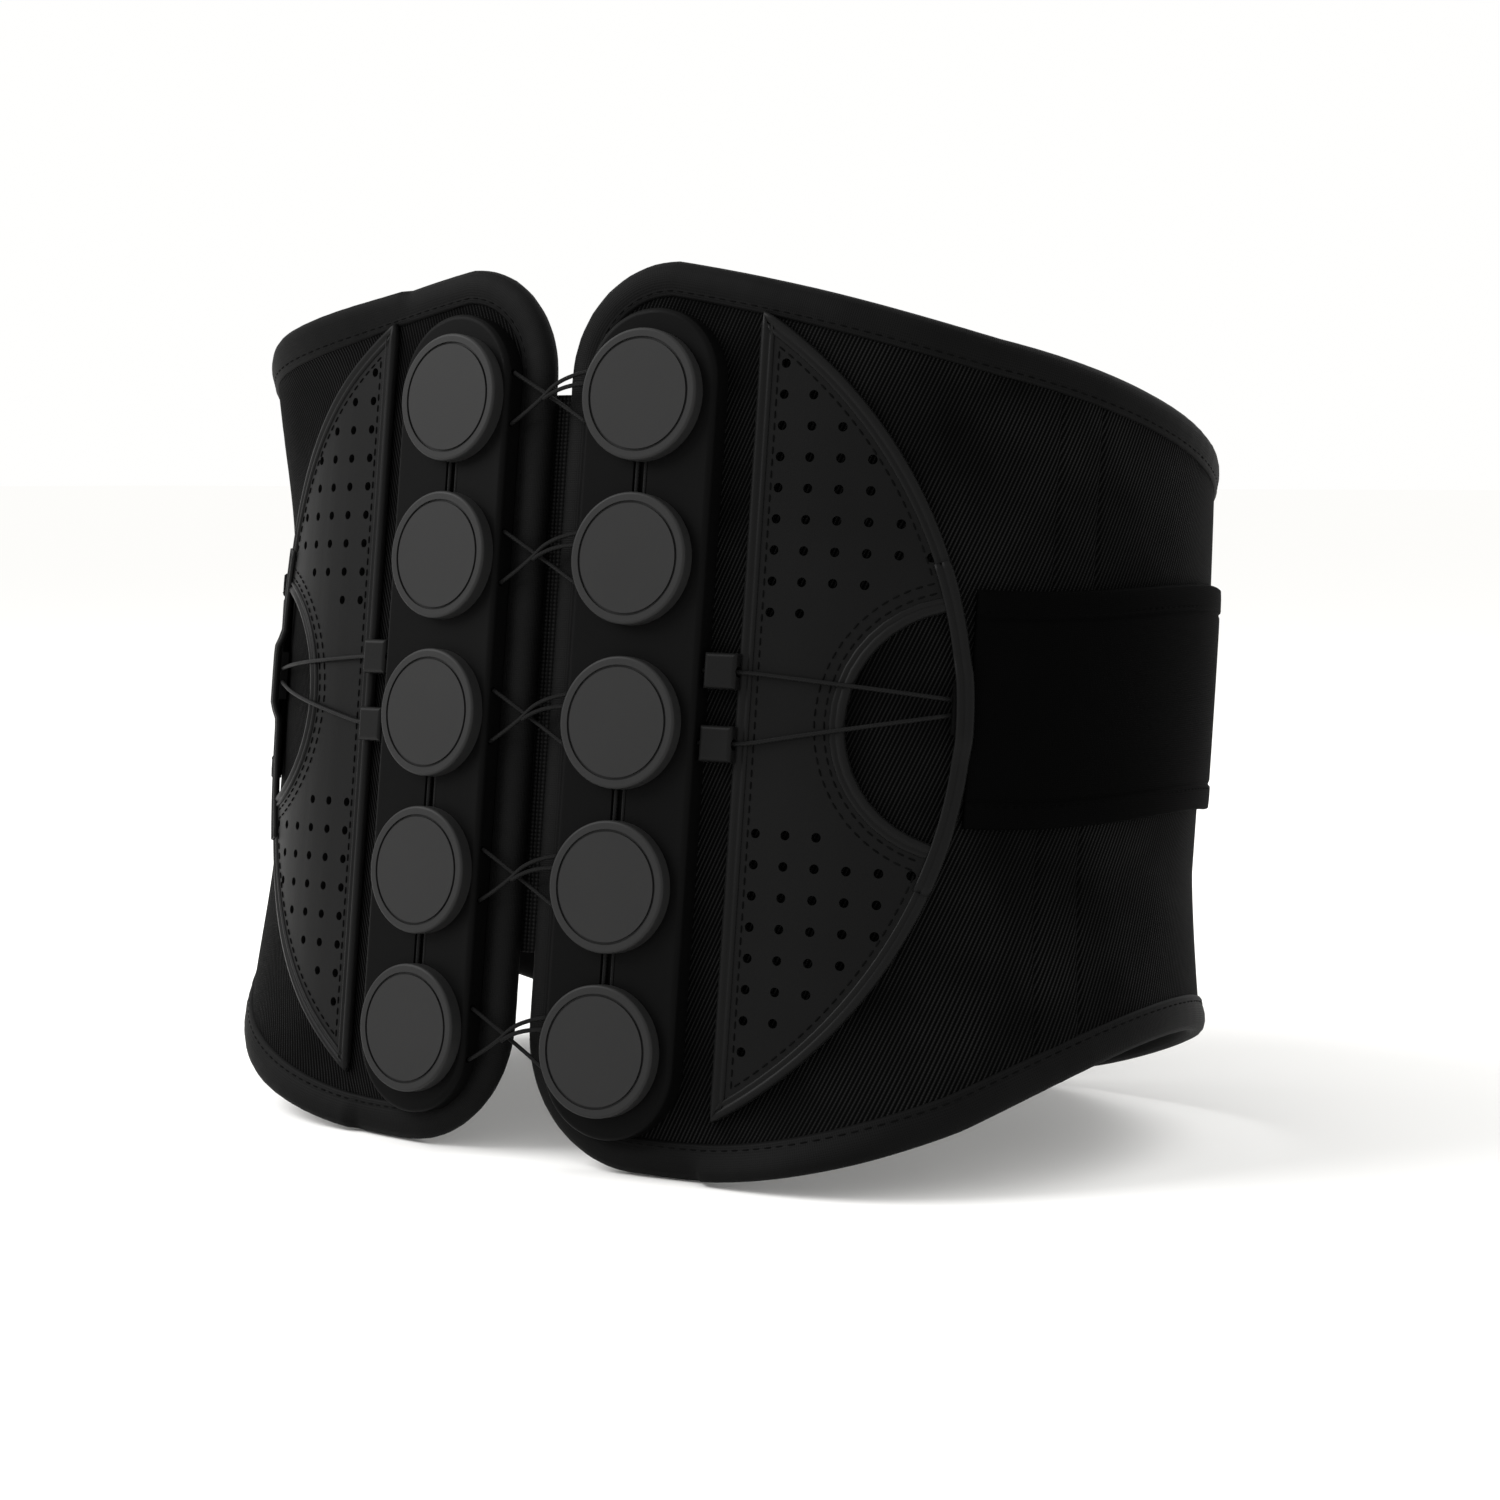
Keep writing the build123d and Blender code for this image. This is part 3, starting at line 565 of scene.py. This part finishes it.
def sweep(name, path, profile, material, side=1, closed=False, lift=None, ripple=0.0):
    """Sweep a profile of (inwards, offset) along a path of (station, height) on the wall."""
    loops = []
    for (s, h), ((ns, nh), run) in zip(path, walk(path, closed)):
        base = lift(s, h) if lift else 0.0
        loop = []
        for d, o in profile:
            wave = ripple * math.sin(run * 1.3) * math.sin(run * 0.31) * (1 if o > 0 else -1)
            where = (run, d + o, 0)
            loop.append((place(s + ns * d, o + base + wave, h + nh * d, side), where))
        loops.append(loop)
    return loops_to_mesh(name, loops, material, closed_path=closed)


def resample(path, step):
    """Return a path with points about a step apart along its own lines."""
    lengths = [math.hypot(b[0] - a[0], b[1] - a[1]) for a, b in zip(path, path[1:])]
    total = sum(lengths)
    count = max(2, round(total / step))
    result, i, passed = [], 0, 0.0
    for k in range(count + 1):
        goal = total * k / count
        while i < len(lengths) - 1 and passed + lengths[i] < goal:
            passed += lengths[i]
            i += 1
        t = (goal - passed) / lengths[i] if lengths[i] else 0.0
        a, b = path[i], path[i + 1]
        result.append((a[0] + (b[0] - a[0]) * t, a[1] + (b[1] - a[1]) * t))
    return result


# A stitch's section, as shares of its width and half width, and how far its ends taper.
STITCH_SECTION = ((-0.5, 0.0), (-0.3, 0.8), (0.3, 0.8), (0.5, 0.0), (0.0, -0.5))
STITCH_TAPER, STITCH_TIP, STITCH_NECK = 0.3, 0.35, 0.9


def stitches(name, runs, side, long, pitch, wide, material=THREAD):
    """Make a row of stitches along each run of (path, offset): small bars, round at their ends."""
    swell = (
        (0.0, STITCH_TIP), (STITCH_TAPER, STITCH_NECK), (long / 2, 1.0), (long - STITCH_TAPER, STITCH_NECK),
        (long, STITCH_TIP),
    )
    corners = len(STITCH_SECTION)
    verts, faces, cloth = [], [], []
    for path, offset in runs:
        dense = resample(path, pitch)
        for (s, h), (s2, h2) in zip(dense, dense[1:]):
            length = math.hypot(s2 - s, h2 - h) or 1.0
            ts, th = (s2 - s) / length, (h2 - h) / length
            ring = []
            for t, grow in swell:
                for across, up in STITCH_SECTION:
                    a = across * wide * grow
                    rise = up * wide * 0.5 * grow
                    ring.append(place(s + ts * t + th * a, offset + rise, h + th * t - ts * a, side))
                    cloth.append((s, h, 0))
            base = len(verts)
            verts += ring
            for r in range(len(swell) - 1):
                near, far = base + r * corners, base + (r + 1) * corners
                for j in range(corners):
                    k = (j + 1) % corners
                    faces.append((near + j, near + k, far + k, far + j))
            tip = base + (len(swell) - 1) * corners
            faces.append(tuple(base + j for j in range(corners)))
            faces.append(tuple(tip + j for j in range(corners)))
    return new_piece(name, verts, faces, material, cloth)


def tube(name, paths, radius, material, sides=10):
    """Make round tubes along paths of points in metres."""
    verts, faces, cloth = [], [], []
    for path in paths:
        base, run = len(verts), 0.0
        for i, point in enumerate(path):
            along = (path[min(i + 1, len(path) - 1)] - path[max(i - 1, 0)]).normalized()
            across = along.cross(UP)
            if across.length < 0.3:
                across = along.cross(Vector((1, 0, 0)))
            across.normalize()
            other = along.cross(across)
            if i:
                run += (point - path[i - 1]).length / MM
            for k in range(sides):
                angle = 2 * math.pi * k / sides
                verts.append(point + (across * math.cos(angle) + other * math.sin(angle)) * radius)
                cloth.append((run, radius / MM * angle, 0))
        for i in range(len(path) - 1):
            for k in range(sides):
                a, b = base + i * sides, base + (i + 1) * sides
                faces.append((a + k, a + (k + 1) % sides, b + (k + 1) % sides, b + k))
        faces.append(tuple(base + k for k in range(sides)))
        faces.append(tuple(base + (len(path) - 1) * sides + k for k in range(sides)))
    return new_piece(name, verts, faces, material, cloth)


def nurbs_line(points, steps=6):
    """Return points along the route's own NURBS line, for a mesh tube to follow."""
    curve = bpy.data.curves.new("route", "CURVE")
    curve.dimensions = "3D"
    curve.resolution_u = steps
    spline = curve.splines.new("NURBS")
    spline.points.add(len(points) - 1)
    for entry, point in zip(spline.points, points):
        entry.co = (*point, 1)
    spline.order_u = 3
    spline.use_endpoint_u = True
    obj = bpy.data.objects.new("route", curve)
    bpy.context.collection.objects.link(obj)
    bpy.context.view_layer.update()
    mesh = bpy.data.meshes.new_from_object(obj)
    line = [vertex.co.copy() for vertex in mesh.vertices]
    bpy.data.objects.remove(obj)
    bpy.data.meshes.remove(mesh)
    return line


def corner_drop(inside, corner):
    """Return how far a rounded corner stands back at a distance inside a piece's end."""
    if inside >= corner:
        return 0.0
    return corner - math.sqrt(max(corner**2 - (corner - inside) ** 2, 0))


# ------------------------------------------------------------------ cords
def make_side_cords(name, side):
    """Make one side's two cords, from the plate's ports through the guides to the strap's anchor."""
    start = GUIDE_STATION + GUIDE_W / 2 + 2 * CORD_R
    end = STRAP_START - ANCHOR_LEN - 0.3
    for label, way, rise in (("upper", 1, GUIDE_RISES[0]), ("lower", -1, GUIDE_RISES[1])):
        route = [
            on_plate(PLATE_OUTER, PLATE_MID + rise, SIDE_PORT_Z, side),
            place(start, GUIDE_Z, PLATE_MID + rise, side),
        ]
        last = STRAP_MID + way * ANCHOR_H / 7
        for share in (0.17, 0.33, 0.5, 0.67, 0.83, 1.0):
            station = start + (end - start) * share
            height = PLATE_MID + rise + (last - PLATE_MID - rise) * share
            route.append(place(station, 3.1 - 0.7 * share**4, height, side))
        line = nurbs_line(route)
        cord = tube(f"{name}_{label}_side_cord", [line], CORD_R * MM, MATERIALS["lace_cord"])
        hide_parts(f"{name}_side_cords")
        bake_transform(cord)


def make_lacing():
    """Make the crossed lacing: at each pulley a straight strand, a slack one and a short spur."""
    paths = []
    for height in PULLEY_HEIGHTS:
        left_high = on_plate(PLATE_INNER, height + LACE_RISE, LACE_Z, -1)
        left_low = on_plate(PLATE_INNER, height - LACE_RISE, LACE_Z, -1)
        right_high = on_plate(PLATE_INNER, height + LACE_RISE, LACE_Z, 1)
        right_low = on_plate(PLATE_INNER, height - LACE_RISE, LACE_Z, 1)
        crossing = left_high.lerp(right_low, 0.5) + AHEAD * 0.8 * MM
        slack = left_low.lerp(right_high, 0.36) - AHEAD * 1.2 * MM
        bow = left_low.lerp(right_high, 0.66) + UP * 3.2 * MM - AHEAD * 1.4 * MM
        spur = left_low.lerp(right_high, 0.45) - AHEAD * 1.6 * MM
        paths.append(nurbs_line([left_high, crossing, right_low], 8))
        paths.append(nurbs_line([left_low, slack, bow, right_high], 8))
        paths.append(nurbs_line([spur, bow - UP * 2.0 * MM, right_high - UP * 3.4 * MM], 8))
    lacing = tube("crossed_lacing_cord", paths, CORD_R * MM, MATERIALS["lace_cord"], sides=8)
    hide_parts("crossed_lacing")
    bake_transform(lacing)


def make_links(name, side):
    """Make the short doubled cords between neighbouring pulleys."""
    paths = []
    for gap in LINK_GAPS:
        for spread in (LINK_SPREAD, -LINK_SPREAD):
            top, bottom = PULLEY_HEIGHTS[gap] - 11, PULLEY_HEIGHTS[gap + 1] + 11
            heights = [top + (bottom - top) * k / 4 for k in range(5)]
            paths.append([on_plate(spread, height, PLATE_T - 0.75, side) for height in heights])
    links = tube(f"{name}_link_cord", paths, CORD_R * MM, MATERIALS["lace_cord"])
    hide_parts(f"{name}_link_cords")
    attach(links, f"{name}_half")


for name, side in SIDES:
    make_side_cords(name, side)
    make_links(name, side)
make_lacing()


# ------------------------------------------------------------------ the wing's outline
def circle_through(a, b, c):
    """Return the centre and radius of the circle through three points."""
    d = 2 * (a[0] * (b[1] - c[1]) + b[0] * (c[1] - a[1]) + c[0] * (a[1] - b[1]))
    squares = [p[0] ** 2 + p[1] ** 2 for p in (a, b, c)]
    x = (squares[0] * (b[1] - c[1]) + squares[1] * (c[1] - a[1]) + squares[2] * (a[1] - b[1])) / d
    y = (squares[0] * (c[0] - b[0]) + squares[1] * (a[0] - c[0]) + squares[2] * (b[0] - a[0])) / d
    return x, y, math.hypot(a[0] - x, a[1] - y)


def on_circle(circle, x, upper):
    """Return a circle's height at x, on its upper or lower half."""
    rise = math.sqrt(max(circle[2] ** 2 - (x - circle[0]) ** 2, 0))
    return circle[1] + rise if upper else circle[1] - rise


CREST = circle_through((TOP_PEAK_X, BACK_HEIGHT), TOP_MID, (TURN_X, TOP_TURN))
ARCH_CIRCLE = circle_through((TURN_Y, BOTTOM_TURN), ARCH, (FRONT_Y, FRONT_LOW))
RISE_R = ((TURN_X - BOTTOM_FLAT_X) ** 2 + BOTTOM_TURN**2) / (2 * BOTTOM_TURN)
RISE = (BOTTOM_FLAT_X, RISE_R, RISE_R)
TOP_CORNER = (GAP / 2 + CORNER_TOP_R, BACK_HEIGHT - CORNER_TOP_R, CORNER_TOP_R)
BOTTOM_CORNER = (GAP / 2 + CORNER_BOTTOM_R, CORNER_BOTTOM_R, CORNER_BOTTOM_R)


def wing_span(station):
    """Return the wing's lowest and highest height at a station."""
    x, y, _ = plan(station)
    if y > TURN_Y or station > 130:
        return on_circle(ARCH_CIRCLE, y, upper=True), TOP_TURN - TOP_SLOPE * (y - TURN_Y)
    if x < BOTTOM_CORNER[0]:
        low = on_circle(BOTTOM_CORNER, x, upper=False)
    else:
        low = 0.0 if x < BOTTOM_FLAT_X else on_circle(RISE, x, upper=False)
    if x < TOP_CORNER[0]:
        high = on_circle(TOP_CORNER, x, upper=True)
    else:
        high = BACK_HEIGHT if x < TOP_PEAK_X else on_circle(CREST, x, upper=True)
    return low, high


def outline_path(end, closed):
    """Return the wing's edge: along the bottom to the gap, up it and back along the top."""
    gap_station = 4.0
    stations = [gap_station + 35 * (1 - math.cos(math.pi / 2 * k / 14)) for k in range(15)]
    stations += spaced(42, end, 4)
    bottom = [(s, wing_span(s)[0]) for s in reversed(stations)]
    top = [(s, wing_span(s)[1]) for s in stations]
    path = resample(bottom + top, 2.5)
    if not closed:
        return path
    corner = 8.0
    low, high = path[0][1], path[-1][1]
    path = [p for p in path if p[0] < end - corner]
    bend = [(math.sin(math.pi / 2 * k / 5), math.cos(math.pi / 2 * k / 5)) for k in range(6)]
    path += [(end - corner + corner * a, high - corner + corner * b) for a, b in bend]
    path += resample([(end, high - corner - 3), (end, low + corner + 3)], 3)
    path += [(end - corner + corner * b, low + corner - corner * a) for a, b in bend]
    return path


# ------------------------------------------------------------------ wings, bindings and linings
BINDING_PROFILE = (
    (9.0, -0.3), (8.9, 0.35), (8.3, 0.85), (7.2, 0.8), (6.4, 1.05), (4.6, 1.35), (2.6, 1.25), (0.9, 0.75),
    (-0.2, -0.2), (-0.75, -1.4), (-0.75, -2.6), (-0.2, -3.8), (0.9, -4.75), (2.6, -5.25), (4.6, -5.35),
    (6.4, -5.05), (7.2, -4.8), (8.3, -4.85), (8.9, -4.35), (9.0, -3.7),
)


def wing_relief(s, h, edge):
    """Return the wing's quilting: a sewn stay band and soft swells of the laminate."""
    value = 0.22 * math.sin(s * 0.045 + 0.6) * math.sin(h * 0.03)
    for line in STAY_BAND:
        value -= 0.45 * math.exp(-(((s - line) / 0.7) ** 2))
    if STAY_BAND[0] < s < STAY_BAND[1]:
        value += 0.3 * math.sin(math.pi * (s - STAY_BAND[0]) / (STAY_BAND[1] - STAY_BAND[0]))
    return value


def make_wing(name, side, end):
    """Make one half's wing, its edge binding, their stitching and the mesh lining."""
    marks = [line + shift for line in STAY_BAND for shift in (-1.6, -0.8, -0.4, 0, 0.4, 0.8, 1.6)]
    stations = [4.2 + 35 * (1 - math.cos(math.pi / 2 * k / 12)) for k in range(13)]
    stations += spaced(42, end - 0.4, 3.0, 0, marks)
    wing = slab(
        f"{name}_wing_shell", stations, lambda s: (wing_span(s)[0] + 0.3, wing_span(s)[1] - 0.3),
        -WING_T + 0.1, 0.0, MATERIALS["twill_fabric"], side, step=4.0, roll=1.0, relief=wing_relief,
    )
    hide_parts(f"{name}_wing")
    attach(wing, f"{name}_half")

    closed = name == "left"
    path = outline_path(end, closed)
    binding = sweep(
        f"{name}_edge_tape", path, BINDING_PROFILE, MATERIALS["edge_binding"], side, closed, ripple=0.07
    )
    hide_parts(f"{name}_binding")
    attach(binding, f"{name}_half")
    ring = path + path[:1] if closed else path
    normals = walk(path, closed)
    normals = normals + normals[:1] if closed else normals
    seam = [
        (s + ns * BINDING_SEAM, h + nh * BINDING_SEAM) for (s, h), ((ns, nh), _) in zip(ring, normals)
    ]
    thread = stitches(f"{name}_binding_stitching", [(seam, 0.78), (seam, -4.8)], side, 2.0, 3.2, 0.45)
    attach(thread, f"{name}_half")

    for number, (middle, low, high) in enumerate(STAYS, start=1):
        stay = slab(
            f"{name}_stay_{number}", spaced(middle - STAY_W / 2, middle + STAY_W / 2, 3),
            lambda s: (low, high), -2.6, -1.4, MATERIALS["stay_steel"], side, step=6, roll=0.4,
        )
        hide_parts(f"{name}_stays")
        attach(stay, f"{name}_half")

    def lining_span(s):
        low, high = wing_span(s)
        return low + 10.2, high - 10.2

    lining = slab(
        f"{name}_mesh_lining", spaced(26, end - 10.5, 4, 2.0), lining_span, -6.0, -WING_T - 0.05,
        MATERIALS["spacer_mesh"], side, step=5, roll=1.6,
    )
    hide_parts(f"{name}_lining")
    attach(lining, f"{name}_half")


for (name, side), end in zip(SIDES, (RIGHT_END, LEFT_END)):
    make_wing(name, side, end)


# ------------------------------------------------------------------ side panels, windows and keepers
def on_panel(x, y):
    """Return the station and height of a place on the side panel, from its middle."""
    from_x, from_y, heading = plan(PANEL_PLACE)
    low, high = PANEL_STATION - 20, PANEL_STATION + PANEL_BULGE + 20
    for _ in range(40):
        middle = (low + high) / 2
        to_x, to_y, _ = plan(middle)
        if (to_x - from_x) * math.cos(heading) + (to_y - from_y) * math.sin(heading) < x:
            low = middle
        else:
            high = middle
    return low, PANEL_MID + y


def d_arc(first, last, count, inset=0.0):
    """Return points along the panel's bulging edge between two angles about its circle."""
    radius = D_R - inset
    turns = [first + (last - first) * k / count for k in range(count + 1)]
    return [on_panel(D_X + radius * math.cos(a), radius * math.sin(a)) for a in turns]


def notch_arc(grow, count=20):
    """Return points round the window, from its upper to its lower end."""
    start = math.atan2(D_R * math.sin(NOTCH_TURN), D_X + D_R * math.cos(NOTCH_TURN) - PANEL_BULGE / 2)
    radius = WINDOW_R + grow
    turns = [start + (2 * math.pi - 2 * start) * k / count for k in range(count + 1)]
    return [on_panel(PANEL_BULGE / 2 + radius * math.cos(a), radius * math.sin(a)) for a in turns]


def panel_path(inset=0.0):
    """Return the panel's whole edge, clockwise from its upper corner."""
    corner = math.acos((-PANEL_BULGE / 2 + inset - D_X) / (D_R - inset))
    shift = NOTCH_TURN + inset / D_R
    upper = d_arc(corner, shift, 26, inset)
    lower = d_arc(-shift, -corner, 26, inset)
    return upper + notch_arc(inset)[1:-1] + lower


WELT_PROFILE = (
    (3.2, 1.5), (3.15, 2.15), (2.7, 2.5), (2.1, 2.5), (1.7, 2.15), (1.3, 2.45), (0.6, 2.75), (-0.2, 2.6),
    (-0.8, 2.0), (-1.0, 1.1), (-0.7, 0.3), (0.1, -0.1),
)
KEEPER_PROFILE = (
    (3.6, 2.3), (3.5, 2.9), (2.9, 3.15), (2.2, 3.1), (1.8, 2.75), (1.4, 3.05), (0.6, 3.35), (-0.3, 3.2),
    (-0.9, 2.6), (-0.9, 1.8), (-0.2, 1.4), (3.0, 1.4),
)


def keeper_lift(s, h):
    """Return how far the keeper stands off the wing where it passes over the cord anchor."""
    return 1.7 * smooth((14.0 - abs(h - STRAP_MID)) / 6.0)


def make_panel_trim(name, side):
    """Make one side panel's welt and stitching, and the keeper across its window."""
    edge = panel_path()
    path = edge + resample([edge[-1], edge[0]], 3.0)[1:-1]
    welt = sweep(f"{name}_panel_welt", path, WELT_PROFILE, MATERIALS["guide_leatherette"], side, closed=True)
    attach(welt, f"{name}_half")
    inner = panel_path(PANEL_SEAM)
    first = math.acos((-PANEL_BULGE / 2 + PANEL_SEAM - D_X) / (D_R - PANEL_SEAM))
    last = NOTCH_TURN + 0.07
    seams = [d_arc(first, last, 30, PANEL_SEAM), d_arc(-last, -first, 30, PANEL_SEAM), [inner[-1], inner[0]]]
    seams += [notch_arc(grow)[1:-1] for grow in WINDOW_SEAMS]
    runs = [(seam, 2.05) for seam in seams]
    thread = stitches(f"{name}_panel_stitching", runs, side, 2.0, 3.1, 0.5)
    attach(thread, f"{name}_half")

    reach = math.asin(KEEPER_HALF / D_R)
    band = sweep(
        f"{name}_keeper_band", d_arc(reach, -reach, 36), KEEPER_PROFILE, MATERIALS["guide_leatherette"],
        side, lift=keeper_lift,
    )
    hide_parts(f"{name}_strap_keeper")
    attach(band, f"{name}_half")


# ------------------------------------------------------------------ straps
def strap_relief(s, h, edge):
    """Return the strap's sewn hems and its slight slackness."""
    hem = 0.28 if edge < 7.0 else 0.0
    dip = -0.35 * math.exp(-(((edge - 7.3) / 0.55) ** 2))
    wave = 0.16 * math.sin(s * 0.09 + h * 0.045)
    return hem + dip + wave


def strap_band(tall):
    """Return the span, over a station, of a piece that runs along the strap."""
    def band(s):
        middle = STRAP_MID + strap_rise(s)
        return middle - tall / 2, middle + tall / 2
    return band


def make_strap(name, side):
    """Make one pull strap with its hem stitching, grip and hook patch."""
    strap = slab(
        f"{name}_strap_web", spaced(STRAP_START, STRAP_END, 3.5, 0.9),
        strap_band(STRAP_H), 0.2, STRAP_IN + STRAP_T - 0.1, MATERIALS["strap_webbing"], side,
        step=3.0, roll=0.9, marks=(5.6, 6.5, 7.0, 7.3, 7.6, 8.2), relief=strap_relief,
    )
    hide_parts(f"{name}_pull_strap")
    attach(strap, f"{name}_strap_body")
    out = STRAP_IN + STRAP_T + 0.12
    seam = spaced(STRAP_START + 2, GRIP_START - 1, 6)
    edge = STRAP_H / 2 - 5.9
    runs = [([(s, STRAP_MID + strap_rise(s) + way * edge) for s in seam], out) for way in (1, -1)]
    thread = stitches(f"{name}_strap_stitching", runs, side, 1.6, 2.6, 0.35, MATERIALS["strap_webbing"])
    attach(thread, f"{name}_strap_body")
    face = STRAP_IN + STRAP_T
    for label, start, end, tall, inner, outer, slot in (
        ("strap_grip", GRIP_START, GRIP_END, GRIP_H, face, face + GRIP_T, "grip_rubber"),
        ("strap_hook_patch", HOOK_START, HOOK_END, HOOK_H, 0.06, 0.5, "hook_fastener"),
    ):
        piece = slab(
            f"{name}_{label}_piece", spaced(start, end, 3.0, 0.8), strap_band(tall), inner, outer,
            MATERIALS[slot], side, step=3.0, roll=min(outer - inner, 1.4),
        )
        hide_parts(f"{name}_{label}")
        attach(piece, f"{name}_strap_body")


# ------------------------------------------------------------------ pads and elastic
def make_pad(name, side):
    """Make one lumbar pad, soft and rounded, inside the lining."""
    def pad_span(s):
        drop = corner_drop(min(s - PAD_START, PAD_END - s), PAD_CORNER)
        return PAD_LOW + drop, PAD_HIGH - drop

    wide = PAD_END - PAD_START
    stations = [PAD_START + wide * (0.5 - 0.5 * math.cos(math.pi * k / 22)) for k in range(23)]
    pad = slab(
        f"{name}_soft_pad", stations, pad_span, -14.0, -6.05, MATERIALS["pad_foam"], side, step=5, roll=7.0
    )
    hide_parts(f"{name}_lumbar_pad")
    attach(pad, f"{name}_half")


def elastic_relief(s, h, edge):
    """Return the elastic's upright ribs."""
    return 0.12 * math.sin(2 * math.pi * s / 2.6)


for name, side in SIDES:
    make_panel_trim(name, side)
    make_strap(name, side)
    make_pad(name, side)

elastic = slab(
    "elastic_web", spaced(-ELASTIC_REACH, ELASTIC_REACH, 0.52), lambda s: (ELASTIC_LOW, ELASTIC_HIGH),
    -6.05, -4.95, MATERIALS["elastic_knit"], step=6, roll=0.5, relief=elastic_relief,
)
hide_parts("elastic_panel")
place(-5, -5, 120)
place(5, -5, 120)
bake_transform(elastic)


# ------------------------------------------------------------------ front flap
FLAP_START = FRONT_RUN - 0.2
FLAP_END = FRONT_RUN + FLAP_REACH


def flap_jog(s):
    """Return how far the flap's faces stand below their full offset near its hinge edge."""
    return -FLAP_JOG * (1 - min(max((s - FRONT_RUN) / FLAP_RAMP, 0.0), 1.0))


def flap_span(s):
    """Return the flap's lowest and highest height, round at its free corners."""
    drop = corner_drop(FLAP_END - s, FLAP_CORNER)
    return FLAP_LOW + 0.3 + drop, FLAP_TOP - 0.3 - drop


def make_flap():
    """Make the front flap and the tape round its free edges."""
    bend_start = FLAP_END - FLAP_CORNER
    stations = spaced(FLAP_START, bend_start, 3)[:-1]
    stations += [FLAP_END - FLAP_CORNER * math.cos(math.pi / 2 * k / 12) for k in range(12)]
    stations.append(FLAP_END - 0.4)
    flap = slab(
        "front_flap_shell", stations, flap_span, FLAP_IN + 0.1, FLAP_IN + FLAP_T, MATERIALS["twill_fabric"],
        step=4, roll=1.0,
    )
    toward = AHEAD * MM
    for vertex in flap.data.vertices:
        station = (SIDE_X - (vertex.co - BASE).x / MM) + FRONT_RUN
        vertex.co += toward * flap_jog(station)
    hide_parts("front_flap")
    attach(flap, "front_flap_body")

    upper, lower = FLAP_TOP - FLAP_CORNER, FLAP_LOW + FLAP_CORNER
    arc = [math.pi / 2 * k / 8 for k in range(1, 8)]
    reach = [(FLAP_CORNER * math.cos(a), FLAP_CORNER * math.sin(a)) for a in arc]
    edge = [(FRONT_RUN + FLAP_RAMP, FLAP_TOP), (bend_start, FLAP_TOP)]
    edge += [(bend_start + sine, upper + cosine) for cosine, sine in reach]
    edge += [(FLAP_END, upper), (FLAP_END, lower)]
    edge += [(bend_start + cosine, lower - sine) for cosine, sine in reach]
    edge += [(bend_start, FLAP_LOW), (FRONT_RUN + FLAP_RAMP, FLAP_LOW)]
    tape = sweep(
        "flap_edge_tape", resample(edge, 2.5), [(d, o + 6.2) for d, o in BINDING_PROFILE],
        MATERIALS["edge_binding"], ripple=0.07,
    )
    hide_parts("flap_binding")
    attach(tape, "front_flap_body")


make_flap()


# ------------------------------------------------------------------ floor and light
def make_studio():
    """Make a pale floor and surroundings, a soft key light from the upper left and a rim light."""
    floor = bpy.data.materials.new("studio_floor")
    floor.use_nodes = True
    shader = floor.node_tree.nodes["Principled BSDF"]
    shader.inputs["Base Color"].default_value = (0.985, 0.98, 0.968, 1)
    shader.inputs["Roughness"].default_value = 0.85
    shader.inputs["Specular IOR Level"].default_value = 0.0
    mesh = bpy.data.meshes.new("studio_floor")
    half = 30.0
    corners = [(-half, -half, 0), (half, -half, 0), (half, half, 0), (-half, half, 0)]
    mesh.from_pydata(corners, [], [(0, 1, 2, 3)])
    mesh.materials.append(floor)
    plane = bpy.data.objects.new("studio_floor", mesh)
    bpy.context.collection.objects.link(plane)

    world = bpy.data.worlds.new("studio")
    world.use_nodes = True
    world.node_tree.nodes["Background"].inputs["Color"].default_value = (1.0, 0.998, 0.99, 1)
    world.node_tree.nodes["Background"].inputs["Strength"].default_value = 1.0
    bpy.context.scene.world = world

    for label, spot, size, power in (
        ("key", (-0.95, -0.80, 1.05), 1.1, 22.0),
        ("rim", (0.4, 1.5, 1.3), 1.0, 6.0),
    ):
        data = bpy.data.lights.new(label, "AREA")
        data.shape = "DISK"
        data.size = size
        data.energy = power
        light = bpy.data.objects.new(label, data)
        light.location = spot
        light.rotation_euler = (TARGET - light.location).to_track_quat("-Z", "Y").to_euler()
        bpy.context.collection.objects.link(light)
    bpy.context.scene.view_settings.view_transform = "Standard"


make_studio()
